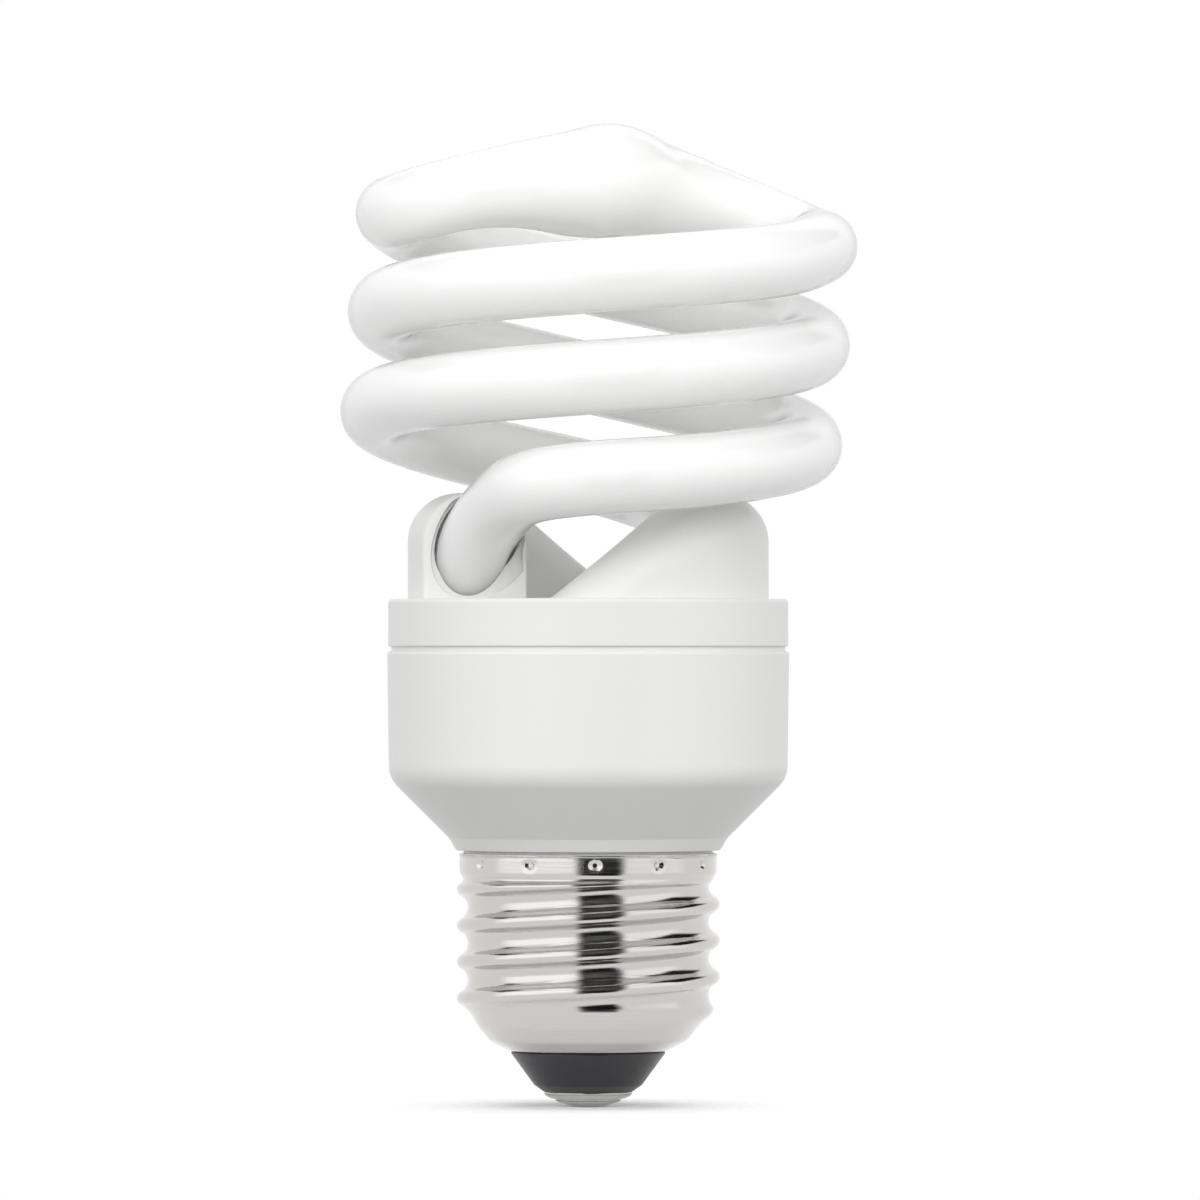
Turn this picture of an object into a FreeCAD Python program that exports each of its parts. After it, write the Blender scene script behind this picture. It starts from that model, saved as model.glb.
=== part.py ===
"""Spiral energy saving bulb: a double spiral tube on a ballast housing with an E27 screw cap.

The lamp stands on its centre contact, cap down. The origin is the middle of the contact's
flat bottom, +Z is the lamp's axis and -Y is the side that the picture was taken from.
All sizes are millimetres and degrees.
"""
import FreeCAD, Part
import math
import os
import Sketcher
from FreeCAD import Placement, Rotation, Vector

SIZES = {
    # Centre contact and its solder dome
    "contact_rim_radius": 4.5,
    "contact_edge_radius": 4.3,
    "contact_face_radius": 3.7,
    "contact_face_height": 0.8,
    "contact_edge_rise": 0.35,
    "contact_rim_rise": 0.35,
    "eyelet_radius": 1.2,
    "eyelet_bore_radius": 0.8,
    "eyelet_length": 3.1,
    "solder_flat_radius": 1.9,
    "solder_rim_radius": 3.45,
    "solder_depth": 1.4,
    # Glass insulator
    "insulator_foot_margin": 0.4,
    "insulator_foot_rise": 0.3,
    "insulator_step_margin": 0.5,
    "insulator_step_rise": 0.4,
    "insulator_lip_margin": 0.05,
    "insulator_flange_height": 1.0,
    "insulator_clearance": 0.1,
    # Screw shell, rolled from sheet
    "shell_wall": 0.3,
    "shell_lip_step": 2.0,
    "shell_lip_rise": 3.4,
    "bowl_knee_step": 1.35,
    "bowl_knee_rise": 1.0,
    "bowl_edge_step": 0.8,
    "bowl_edge_rise": 2.0,
    "lip_wall_angle": 66.0,
    "knee_wall_angle": 59.5,
    "knee_bend": 0.5,
    "thread_pitch": 3.629,
    "thread_crest_radius": 13.15,
    "thread_depth": 1.1,
    "thread_foot_rise": 0.4,
    "thread_ridges": 4,
    "collar_step": 0.3,
    "collar_step_rise": 0.3,
    "collar_height": 1.48,
    "rim_roll": 0.15,
    # Ballast housing
    "housing_wall": 1.4,
    "housing_top_radius": 20.1,
    "housing_draft": 0.17,
    "housing_wall_height": 12.67,
    "shoulder_round": 3.0,
    "seam_depth": 0.4,
    "seam_height": 0.4,
    "lip_overhang": 1.15,
    "lip_setback": 0.8,
    "lip_height": 0.8,
    "lip_band_height": 0.5,
    "cap_seat_gap": 0.3,
    "spigot_clearance": 0.15,
    "spigot_foot_clearance": 0.25,
    "neck_length": 6.6,
    "neck_wall": 1.3,
    "ledge_width": 1.2,
    "ledge_thickness": 1.0,
    # Tube holder with two hoods
    "holder_step": 0.1,
    "holder_rim_height": 4.75,
    "holder_wall": 1.3,
    "holder_edge_round": 0.4,
    "holder_skirt_clearance": 0.15,
    "holder_skirt_wall": 1.25,
    "holder_skirt_length": 1.2,
    "skirt_board_clearance": 0.2,
    "seam_clearance": 0.05,
    "hood_edge_margin": 6.9,
    "hood_half_width": 4.95,
    "hood_height": 10.55,
    "hood_wall": 0.95,
    "hood_foot_angle": 74.0,
    "hood_ramp_end_angle": 149.0,
    "hood_straight_angle": 198.0,
    "hood_steps": 10,
    "hood_mouth_offset": 8.0,
    "mouth_round": 0.5,
    # Discharge tube
    "tube_radius": 3.65,
    "tube_clearance": 0.3,
    "coil_radius": 21.53,
    "coil_rise_per_turn": 20.0,
    "coil_middle_rise": 17.1,
    "coil_lean_angle": 4.4,
    "coil_nod_angle": 1.3,
    "coil_offset": 0.3,
    "arm_start_angle": 264.7,
    "arm_end_angle": 716.8,
    "crossing_rise": 7.05,
    "crossing_peak": 0.8,
    "crossing_pull": 1.82,
    "crossing_slant_angle": 62.0,
    "belly_swell": 2.1,
    "belly_half_length": 21.5,
    "belly_taper": 3,
    "mouth_rise": 6.2,
    "mouth_side_step": 0.3,
    "mouth_turn_angle": 26.0,
    "mouth_rise_angle": 46.0,
    "foot_drop": 2.1,
    "foot_ring_angle": 191.0,
    "foot_turn_angle": 13.0,
    "foot_rise_angle": 58.0,
    "arm_steps": 16,
    "crossing_steps": 8,
    "inner_neck_steps": 3,
    "outer_neck_steps": 4,
    "cement_rise": 1.0,
    "cement_thickness": 2.4,
    "cement_reach": 5.6,
    "cement_clearance": 0.1,
    # Circuit board
    "board_thickness": 1.2,
    "board_clearance": 0.3,
    "lead_radius": 0.3,
    "lead_clearance": 0.1,
    "lead_tip": 0.9,
    "component_standoff": 0.2,
    "component_gap": 1.0,
    # Parts below the board
    "smoothing_radius": 5.0,
    "smoothing_length": 17.0,
    "smoothing_x": 2.2,
    "smoothing_y": 4.0,
    "smoothing_pitch": 5.0,
    "sleeve_groove_depth": 0.35,
    "sleeve_groove_height": 0.9,
    "sleeve_groove_offset": 1.6,
    "core_length": 10.4,
    "core_width": 12.0,
    "core_depth": 5.5,
    "core_back": 1.8,
    "core_centre_leg": 3.2,
    "core_gap": 0.4,
    "choke_y": -3.5,
    "bobbin_wall": 0.5,
    "bobbin_flange": 0.6,
    "bobbin_clearance": 0.15,
    "winding_clearance": 0.1,
    "winding_build": 0.65,
    "bobbin_flange_height": 1.7,
    "choke_pin_margin": 0.55,
    "toroid_outer_radius": 3.8,
    "toroid_inner_radius": 2.0,
    "toroid_height": 2.8,
    "toroid_x": 4.6,
    "toroid_wire_radius": 0.2,
    "toroid_turn_gap": 0.08,
    "toroid_turn_step": 26.0,
    "lower_base_angle": 20.0,
    "lower_base_turns": 3,
    "upper_base_angle": 140.0,
    "upper_base_turns": 3,
    "drive_angle": 250.0,
    "drive_turns": 4,
    "transistor_width": 7.8,
    "transistor_depth": 2.7,
    "transistor_height": 10.0,
    "transistor_hole_radius": 1.6,
    "transistor_lead_pitch": 2.28,
    "transistor_standoff": 0.8,
    "upper_transistor_y": 4.6,
    "lower_transistor_y": -5.4,
    "resonant_length": 10.0,
    "resonant_depth": 4.5,
    "resonant_height": 8.5,
    "coupling_length": 9.0,
    "coupling_depth": 4.0,
    "coupling_height": 8.0,
    "coupling_x": 4.6,
    "suppression_length": 7.4,
    "suppression_depth": 3.5,
    "suppression_height": 7.0,
    "film_round": 0.9,
    "film_pitch_margin": 2.5,
    "thermistor_radius": 2.2,
    "thermistor_thickness": 2.2,
    "thermistor_x": -10.6,
    "thermistor_pitch": 2.6,
    "diode_radius": 1.35,
    "diode_length": 5.2,
    "diode_edge_margin": 3.53,
    "diode_first_angle": 235.0,
    "diode_step_angle": 13.0,
    "diac_radius": 0.95,
    "diac_length": 3.9,
    "diac_angle": 285.0,
    "resistor_radius": 1.15,
    "resistor_length": 6.3,
    "lower_resistor_y": -0.2,
    "upper_resistor_y": 8.0,
    "edge_resistor_angle": 304.0,
    "fold_pitch": 2.2,
    "fold_radius": 0.7,
    "fusible_radius": 1.7,
    "fusible_length": 9.0,
    "fusible_rise": 4.6,
    "fusible_lead_length": 0.8,
    # Wires and pins
    "wire_radius": 0.6,
    "wire_clearance": 0.1,
    "wire_climb": 12.0,
    "wire_corner_share": 0.45,
    "live_wire_x": 9.7,
    "live_wire_y": -3.4,
    "live_wire_bend": 0.55,
    "neutral_wire_x": 9.4,
    "neutral_wire_y": 4.6,
    "neutral_drop": 2.0,
    "pin_width": 0.9,
    "pin_rise": 2.45,
    "pin_ring_step": 3.0,
    "pin_first_angle": 166.0,
    "pin_step_angle": 13.0,
    "filament_wire_radius": 0.25,
    "filament_spread": 1.5,
    "filament_drop": 2.6,
}

doc = FreeCAD.newDocument("spiral_bulb")
sheet = doc.addObject("Spreadsheet::Sheet", "sizes")
for row, (name, value) in enumerate(SIZES.items(), start=1):
    sheet.set("A%d" % row, name.replace("_", " "))
    sheet.set("B%d" % row, str(value))
    sheet.setAlias("B%d" % row, name)
doc.recompute()

# Levels that several pieces share, as rules on the sheet
THREAD_ROOT = "(sizes.thread_crest_radius - sizes.thread_depth)"
COLLAR = "(sizes.thread_crest_radius - sizes.collar_step)"
BOWL_EDGE = "(%s - sizes.bowl_edge_step)" % THREAD_ROOT
BOWL_KNEE = "(%s - sizes.bowl_knee_step)" % BOWL_EDGE
SHELL_LIP = "(%s - sizes.shell_lip_step)" % BOWL_KNEE
CONTACT_EDGE_LEVEL = "(sizes.contact_face_height + sizes.contact_edge_rise)"
CONTACT_RIM_LEVEL = "(%s + sizes.contact_rim_rise)" % CONTACT_EDGE_LEVEL
INSULATOR_FOOT_LEVEL = "(%s + sizes.insulator_foot_rise)" % CONTACT_RIM_LEVEL
INSULATOR_STEP_LEVEL = "(%s + sizes.insulator_step_rise)" % INSULATOR_FOOT_LEVEL
SHELL_LIP_LEVEL = "(%s + sizes.shell_lip_rise)" % INSULATOR_STEP_LEVEL
BOWL_KNEE_LEVEL = "(%s + sizes.bowl_knee_rise)" % SHELL_LIP_LEVEL
BOWL_EDGE_LEVEL = "(%s + sizes.bowl_edge_rise)" % BOWL_KNEE_LEVEL
THREAD_FOOT_LEVEL = "(%s + sizes.thread_foot_rise)" % BOWL_EDGE_LEVEL
THREAD_TOP_LEVEL = "(%s + sizes.thread_ridges * sizes.thread_pitch)" % THREAD_FOOT_LEVEL
COLLAR_FOOT_LEVEL = "(%s + sizes.collar_step_rise)" % THREAD_TOP_LEVEL
COLLAR_TOP_LEVEL = "(%s + sizes.collar_height)" % COLLAR_FOOT_LEVEL
OVER_KNEE_LEVEL = "(%s + 2 * sizes.shell_wall)" % BOWL_KNEE_LEVEL
INSULATOR_TOP_LEVEL = "(%s + sizes.insulator_flange_height)" % OVER_KNEE_LEVEL
FUSIBLE_FOOT_LEVEL = "(%s + sizes.fusible_rise)" % INSULATOR_TOP_LEVEL
HOUSING_SHOULDER = "(sizes.housing_top_radius - sizes.housing_draft)"
HOUSING_BORE = "(%s - sizes.housing_wall)" % HOUSING_SHOULDER
LIP = "(%s + sizes.lip_overhang)" % COLLAR
HOUSING_FOOT_LEVEL = "(%s + sizes.cap_seat_gap)" % COLLAR_TOP_LEVEL
LIP_LEVEL = "(%s + sizes.lip_height)" % HOUSING_FOOT_LEVEL
CONE_LEVEL = "(%s + sizes.lip_band_height)" % LIP_LEVEL
SHOULDER_LEVEL = "(%s + %s - %s)" % (CONE_LEVEL, HOUSING_SHOULDER, LIP)
HOUSING_RIM_LEVEL = "(%s + sizes.housing_wall_height)" % SHOULDER_LEVEL
NECK_FOOT_LEVEL = "(%s - sizes.neck_length)" % HOUSING_FOOT_LEVEL
HOUSING_TOP = "(%s + sizes.seam_height)" % HOUSING_RIM_LEVEL
HOLDER_FOOT = "(%s + sizes.seam_clearance)" % HOUSING_TOP
HOLDER = "(sizes.housing_top_radius - sizes.holder_step)"
HOOD_RING = "(%s - sizes.hood_edge_margin)" % HOLDER
PIN_RING = "(%s + sizes.pin_ring_step)" % HOOD_RING
DIODE_RING = "(%s - sizes.diode_edge_margin)" % HOUSING_BORE
HOLDER_TOP = "(%s + sizes.holder_rim_height)" % HOLDER_FOOT
HOLDER_UNDER = "(%s - sizes.holder_wall)" % HOLDER_TOP
HOOD_TOP = "(%s + sizes.hood_height)" % HOLDER_TOP
MOUTH_LEVEL = "(%s + sizes.mouth_rise)" % HOLDER_TOP
TUBE_FOOT = "(%s - sizes.foot_drop)" % HOLDER_TOP
CEMENT_FOOT = "(%s + sizes.cement_rise)" % TUBE_FOOT
COIL_MIDDLE = "(%s + sizes.coil_middle_rise)" % HOLDER_TOP
SPIGOT = "(%s - sizes.shell_wall - sizes.spigot_clearance)" % COLLAR
NECK = "(%s - sizes.shell_wall - sizes.spigot_clearance)" % THREAD_ROOT
NECK_BORE = "(%s - sizes.neck_wall)" % NECK
SKIRT_FOOT = "(%s - sizes.holder_skirt_length)" % HOLDER_FOOT
BOARD_TOP = "(%s - sizes.skirt_board_clearance)" % SKIRT_FOOT
BOARD_FACE = "(%s - sizes.board_thickness)" % BOARD_TOP
SEAT = "(%s - sizes.component_standoff)" % BOARD_FACE
LEAD_TOP = "(%s + sizes.lead_tip)" % BOARD_TOP
PIN_TOP = "(%s + sizes.pin_rise)" % BOARD_TOP
CHOKE_X = "(sizes.smoothing_x - sizes.smoothing_radius - sizes.component_gap - sizes.core_length / 2)"
RESISTOR_X = "(sizes.smoothing_x + sizes.smoothing_radius + sizes.component_gap + sizes.resistor_radius)"
RESISTOR_SIDE = "(%s + sizes.resistor_radius)" % RESISTOR_X
TRANSISTOR_X = "(%s + sizes.component_gap + sizes.transistor_depth / 2)" % RESISTOR_SIDE
RESONANT_X = "(%s + (sizes.core_length - sizes.resonant_length) / 2)" % CHOKE_X
RESONANT_Y = "(sizes.choke_y + sizes.core_width / 2 + sizes.component_gap + sizes.resonant_depth / 2)"
THERMISTOR_FACE = "(%s + sizes.resonant_depth / 2 + sizes.component_gap)" % RESONANT_Y
THERMISTOR_Y = "(%s + sizes.thermistor_thickness / 2)" % THERMISTOR_FACE
COUPLING_Y = "(sizes.smoothing_y + sizes.smoothing_radius + sizes.component_gap + sizes.coupling_depth / 2)"
COUPLING_SIDE = "(sizes.coupling_x - sizes.coupling_length / 2)"
SUPPRESSION_X = "(%s - sizes.component_gap - sizes.suppression_length / 2)" % COUPLING_SIDE
SUPPRESSION_Y = "(%s + sizes.component_gap)" % COUPLING_Y

WIRE_SPOTS = [
    ("sizes.live_wire_x", "sizes.live_wire_y"),
    ("sizes.neutral_wire_x", "sizes.neutral_wire_y"),
]

lead_spots = []
nodes = []


def size(name):
    """One size of the sheet as a number."""
    return float(sheet.get(name))


def level(rule):
    """The number that a rule on the sheet gives."""
    return float(sheet.evalExpression(rule))


def bind(item, rules):
    """Tie an object's properties to rules on the sheet."""
    for prop, rule in rules.items():
        item.setExpression(prop, rule)
    return item


def as_node(item, label):
    """Name an object that is written to a file of its own."""
    item.Label = label
    nodes.append(item)
    return item


def shaped(label, shape):
    """An object that holds a shape worked out from the sheet."""
    item = doc.addObject("Part::Feature", label + "_form")
    item.Shape = shape
    return item


def combined(kind, label, items):
    """A union or an intersection of several objects."""
    item = doc.addObject("Part::" + kind, label + "_whole")
    item.Shapes = items
    return item


def less(label, base, tool):
    """One object with another cut away."""
    item = doc.addObject("Part::Cut", label + "_cut")
    item.Base = base
    item.Tool = tool
    return item


def block(label, length, width, height, x, y, z):
    """A box that is centred on x and y and stands on z."""
    item = doc.addObject("Part::Box", label + "_block")
    return bind(item, {
        "Length": length,
        "Width": width,
        "Height": height,
        "Placement.Base.x": "%s - (%s) / 2" % (x, length),
        "Placement.Base.y": "%s - (%s) / 2" % (y, width),
        "Placement.Base.z": z,
    })


def rod(label, radius, height, x, y, z):
    """An upright cylinder that stands on z."""
    item = doc.addObject("Part::Cylinder", label + "_rod")
    return bind(item, {
        "Radius": radius,
        "Height": height,
        "Placement.Base.x": x,
        "Placement.Base.y": y,
        "Placement.Base.z": z,
    })


def lead(label, x, y, low):
    """A lead that goes up through the board, and the place of its hole."""
    lead_spots.append((x, y))
    return rod(label, "sizes.lead_radius", "%s - %s" % (LEAD_TOP, low), x, y, low)


def turned(label, outline, rounds=()):
    """A body turned about the lamp's axis from an outline of (radius, height) rules."""
    body = doc.addObject("PartDesign::Body", label)
    plane = [item for item in body.Origin.OriginFeatures if item.Role == "XZ_Plane"][0]
    axis = [item for item in body.Origin.OriginFeatures if item.Role == "Z_Axis"][0]
    sketch = body.newObject("Sketcher::SketchObject", label + "_outline")
    sketch.AttachmentSupport = (plane, "")
    sketch.MapMode = "FlatFace"
    points = [Vector(level(radius), level(height), 0) for radius, height in outline]
    for index, point in enumerate(points):
        sketch.addGeometry(Part.LineSegment(point, points[(index + 1) % len(points)]), False)
    for index in range(len(points)):
        following = (index + 1) % len(points)
        sketch.addConstraint(Sketcher.Constraint("Coincident", index, 2, following, 1))
    for index, (radius, height) in enumerate(outline):
        place_point(sketch, index, "DistanceX", radius, points[index].x)
        place_point(sketch, index, "DistanceY", height, points[index].y)
    turn = body.newObject("PartDesign::Revolution", label + "_turn")
    turn.Profile = sketch
    turn.ReferenceAxis = (axis, [""])
    turn.Angle = 360
    doc.recompute()
    for number, (radius, height, round_rule) in enumerate(rounds):
        base = body.Tip
        soft = body.newObject("PartDesign::Fillet", "%s_round_%d" % (label, number))
        soft.Base = (base, [edge_at(base.Shape, level(radius), level(height))])
        soft.setExpression("Radius", round_rule)
        body.Tip = soft
        doc.recompute()
    return body


def place_point(sketch, index, way, rule, value):
    """Hold the start of a line at its distance from the sketch's origin."""
    number = sketch.addConstraint(Sketcher.Constraint(way, -1, 1, index, 1, value))
    sketch.setExpression("Constraints[%d]" % number, rule)


def edge_at(shape, radius, height):
    """The name of the round edge at a radius and a height."""
    for number, edge in enumerate(shape.Edges, start=1):
        point = edge.Vertexes[0].Point
        flat = abs(edge.BoundBox.ZMax - edge.BoundBox.ZMin) < 1e-6
        if flat and abs(math.hypot(point.x, point.y) - radius) < 1e-4 and abs(point.z - height) < 1e-4:
            return "Edge%d" % number
    raise ValueError("no edge at radius %g and height %g" % (radius, height))


def tangent_arcs(places, ways):
    """A smooth wire through places: two arcs for each step, tangent to the given ways and each other."""
    edges = []
    for start, end, start_way, end_way in zip(places, places[1:], ways, ways[1:]):
        chord = end - start
        both = start_way + end_way
        along = chord.dot(both)
        square = chord.dot(chord)
        reach = square / (along + math.sqrt(along * along + (4 - both.dot(both)) * square))
        first_corner = start + start_way * reach
        last_corner = end - end_way * reach
        joint = (first_corner + last_corner) * 0.5
        edges.append(arc_in_corner(start, first_corner, joint))
        edges.append(arc_in_corner(joint, last_corner, end))
    return Part.Wire(edges)


def arc_in_corner(start, corner, end):
    """The arc from start to end whose end tangents meet in the corner, or a line if it is straight."""
    weight = (end - start).Length / (2 * (corner - start).Length)
    middle = (start + end + corner * (2 * weight)) * (1 / (2 + 2 * weight))
    if (middle - (start + end) * 0.5).Length < 1e-5:
        return Part.LineSegment(start, end).toShape()
    return Part.Arc(start, middle, end).toShape()


def ways_along(places, first=None, last=None):
    """The direction of travel at each place, from its neighbours."""
    ways = []
    for index in range(len(places)):
        before = places[max(index - 1, 0)]
        after = places[min(index + 1, len(places) - 1)]
        ways.append((after - before).normalize())
    if first:
        ways[0] = first
    if last:
        ways[-1] = last
    return ways


def rounded_route(corners):
    """Straight runs through corners, each corner an arc as large as its runs allow."""
    edges = []
    here = corners[0]
    for before, corner, after in zip(corners, corners[1:], corners[2:]):
        reach = size("wire_corner_share") * min((corner - before).Length, (after - corner).Length)
        start = corner + (before - corner).normalize() * reach
        end = corner + (after - corner).normalize() * reach
        edges.append(Part.LineSegment(here, start).toShape())
        edges.append(arc_in_corner(start, corner, end))
        here = end
    edges.append(Part.LineSegment(here, corners[-1]).toShape())
    return Part.Wire(edges)


def tube_along(wire, radius):
    """A solid round tube with a wire as its middle line."""
    first = wire.OrderedEdges[0]
    start = first.valueAt(first.FirstParameter)
    way = first.tangentAt(first.FirstParameter)
    if (start - wire.OrderedVertexes[0].Point).Length > 1e-6:
        start = wire.OrderedVertexes[0].Point
        way = first.tangentAt(first.LastParameter) * -1
    ring = Part.Wire(Part.makeCircle(radius, start, way))
    return wire.makePipeShell([ring], True, False)


def half_turn(shape):
    """A copy of a shape, turned half way round the lamp's axis."""
    copy = shape.copy()
    copy.rotate(Vector(0, 0, 0), Vector(0, 0, 1), 180)
    return copy


def ring_point(radius, angle, height):
    """A point at a radius and an angle in degrees about the lamp's axis."""
    turn = math.radians(angle)
    return Vector(radius * math.cos(turn), radius * math.sin(turn), height)


def lean(place):
    """The coil stands a little askew in its holder: a lean to the right and a nod to the front."""
    tilt = Placement(Vector(size("coil_offset"), 0, level(COIL_MIDDLE)), Rotation())
    tilt = tilt.multiply(Placement(Vector(), Rotation(Vector(1, 0, 0), size("coil_nod_angle"))))
    tilt = tilt.multiply(Placement(Vector(), Rotation(Vector(0, 1, 0), size("coil_lean_angle"))))
    return tilt.multVec(place)


def arm_point(angle):
    """A place on the helix of one arm, before the lean."""
    height = size("coil_rise_per_turn") * (angle / 360 - 1)
    return ring_point(size("coil_radius"), angle, height)


def arm_places():
    """The places of one arm from its neck to where it turns in, before the lean."""
    start = size("arm_start_angle")
    end = size("arm_end_angle")
    steps = int(size("arm_steps"))
    return [arm_point(start + (end - start) * step / steps) for step in range(steps + 1)]


def crossing_place(share):
    """A place of the crossing, before the lean: it turns in from an arm's end and slants to the middle."""
    end = size("arm_end_angle")
    radius = size("coil_radius")
    pull = size("crossing_pull") * radius
    slant = math.radians(size("crossing_slant_angle"))
    turn = share * share * (3 - 2 * share)
    leave = share * (1 - share) * (1 - share) * pull
    arrive = share * share * (1 - share) * pull
    across = Vector(radius * (1 - turn) + math.cos(slant) * arrive, leave + math.sin(slant) * arrive, 0)
    swing = Rotation(Vector(0, 0, 1), end)
    climb = size("crossing_rise") * (turn - size("crossing_peak") * share * share * (1 - share))
    return swing.multVec(across) + Vector(0, 0, arm_point(end).z + climb)


def crossing_places():
    """One half of the crossing, from just after the arm's end to the middle, before the lean."""
    steps = int(size("crossing_steps"))
    return [crossing_place((step + 1) / steps) for step in range(steps)]


def swell_at(place):
    """How much wider than its arms the tube is at a place: a smooth belly about the crossing's middle."""
    share = (place - lean(crossing_place(1))).Length / size("belly_half_length")
    return size("belly_swell") * max(0, 1 - share * share) ** size("belly_taper")


def heading(turn_angle, rise_angle):
    """A direction towards the front, turned to the right and rising."""
    turn = math.radians(turn_angle)
    rise = math.radians(rise_angle)
    return Vector(math.sin(turn) * math.cos(rise), -math.cos(turn) * math.cos(rise), math.sin(rise))


def neck_places():
    """One leg of the tube, from its foot in the holder through the mouth to the coil."""
    foot = ring_point(level(HOOD_RING), size("foot_ring_angle"), level(TUBE_FOOT))
    mouth_x = hood_line(size("hood_mouth_offset")) + size("mouth_side_step")
    mouth = Vector(mouth_x, -size("hood_mouth_offset"), level(MOUTH_LEVEL))
    mouth_way = heading(size("mouth_turn_angle"), size("mouth_rise_angle"))
    foot_way = heading(size("foot_turn_angle"), size("foot_rise_angle"))
    join = lean(arm_point(size("arm_start_angle")))
    join_way = (lean(arm_point(size("arm_start_angle") + 1)) - join).normalize()
    inner = hermite(foot, foot_way, mouth, mouth_way, int(size("inner_neck_steps")))
    outer = hermite(mouth, mouth_way, join, join_way, int(size("outer_neck_steps")))
    return inner[:-1] + outer[:-1], foot_way


def hermite(start, start_way, end, end_way, steps):
    """Places on a cubic curve that leaves one place and reaches another in given directions."""
    pull = (end - start).Length
    places = []
    for step in range(steps + 1):
        share = step / steps
        turn = share * share * (3 - 2 * share)
        leave = share * (1 - share) * (1 - share)
        arrive = share * share * (share - 1)
        bends = start_way * (pull * leave) + end_way * (pull * arrive)
        places.append(start * (1 - turn) + end * turn + bends)
    return places


def tube_line():
    """The places and the ways of the tube's middle line from foot to foot, and how many an arm has."""
    neck, foot_way = neck_places()
    arm = arm_places()
    crossing = crossing_places()
    half = neck + [lean(place) for place in arm + crossing]
    other_neck = [Vector(-place.x, -place.y, place.z) for place in neck]
    other_arm = [lean(Vector(-place.x, -place.y, place.z)) for place in arm + crossing]
    places = half + (other_neck + other_arm)[-2::-1]
    last_way = Vector(foot_way.x, foot_way.y, -foot_way.z)
    return places, ways_along(places, foot_way, last_way), len(neck) + len(arm)


def tube_arms():
    """The middle lines of the two arms, each with its neck."""
    places, ways, count = tube_line()
    return [tangent_arcs(places[:count], ways[:count]), tangent_arcs(places[-count:], ways[-count:])]


def make_crossing():
    """The crossing with its belly: a smooth skin over round sections, whose tops stay on the tube's."""
    places, ways, count = tube_line()
    rings = []
    for place, way in list(zip(places, ways))[count - 1:1 - count]:
        swell = swell_at(place)
        side = way.cross(Vector(0, 0, 1)).normalize()
        ring = Part.Wire(Part.makeCircle(size("tube_radius") + swell))
        ring.Placement = Placement(place - Vector(0, 0, swell), Rotation(side, side.cross(way), way, "ZXY"))
        rings.append(ring)
    return Part.makeLoft(rings, True, False)


def hood_line(offset):
    """The hood's middle line at a distance in front of the axis, where it runs straight."""
    angle = size("hood_straight_angle")
    leave = ring_point(level(HOOD_RING), angle, 0)
    turn = math.radians(angle)
    travel = (offset + leave.y) / math.cos(turn)
    return leave.x + math.sin(turn) * travel


def hood_section(place, out, half_width, crown, floor):
    """An arch that stands across the hood's line: two upright sides under a half circle."""
    spring = crown - half_width
    base_in = place - out * half_width
    base_out = place + out * half_width
    low_in = Vector(base_in.x, base_in.y, floor)
    low_out = Vector(base_out.x, base_out.y, floor)
    high_in = Vector(base_in.x, base_in.y, spring)
    high_out = Vector(base_out.x, base_out.y, spring)
    top = Vector(place.x, place.y, crown)
    return Part.Wire([
        Part.LineSegment(low_in, low_out).toShape(),
        Part.LineSegment(low_out, high_out).toShape(),
        Part.Arc(high_out, top, high_in).toShape(),
        Part.LineSegment(high_in, low_in).toShape(),
    ])


def hood(inset, floor, mouth_offset):
    """The solid form of one hood, or of the hollow in it: a ramp that climbs to a level ridge."""
    half_width = size("hood_half_width") - inset
    low = level(HOLDER_TOP) - inset
    high = level(HOOD_TOP) - inset
    first = size("hood_foot_angle")
    ramp_end = size("hood_ramp_end_angle")
    last = size("hood_straight_angle")
    base = low - half_width - size("hood_wall")
    steps = int(size("hood_steps"))
    sections = []
    for step in range(steps + 1):
        angle = first + (last - first) * step / steps
        share = min(1.0, (angle - first) / (ramp_end - first))
        climb = (4 * share - share ** 4) / 3
        crown = low + (high - low) * climb
        turn = math.radians(angle)
        out = Vector(math.cos(turn), math.sin(turn), 0)
        place = ring_point(level(HOOD_RING), angle, 0)
        sections.append(hood_section(place, out, half_width, crown, base))
    curved = Part.makeLoft(sections, True, False)
    along = Vector(-math.sin(turn), math.cos(turn), 0)
    run = (mouth_offset + place.y + half_width) / -along.y
    straight = Part.Face(sections[-1]).extrude(along * run)
    reach = 2 * level(HOLDER)
    keep = Part.makeBox(2 * reach, reach + mouth_offset, reach, Vector(-reach, -mouth_offset, floor))
    return curved.fuse(straight).common(keep)


def with_round_mouth(form, mouth_offset):
    """A hood whose arch-shaped edge round the mouth is softened."""
    rim = []
    for edge in form.Edges:
        ends = [vertex.Point.y for vertex in edge.Vertexes] + [edge.CenterOfMass.y]
        upright = edge.BoundBox.ZLength > size("mouth_round")
        if upright and all(abs(place + mouth_offset) < 1e-3 for place in ends):
            rim.append(edge)
    return form.makeFillet(size("mouth_round"), rim)


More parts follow.
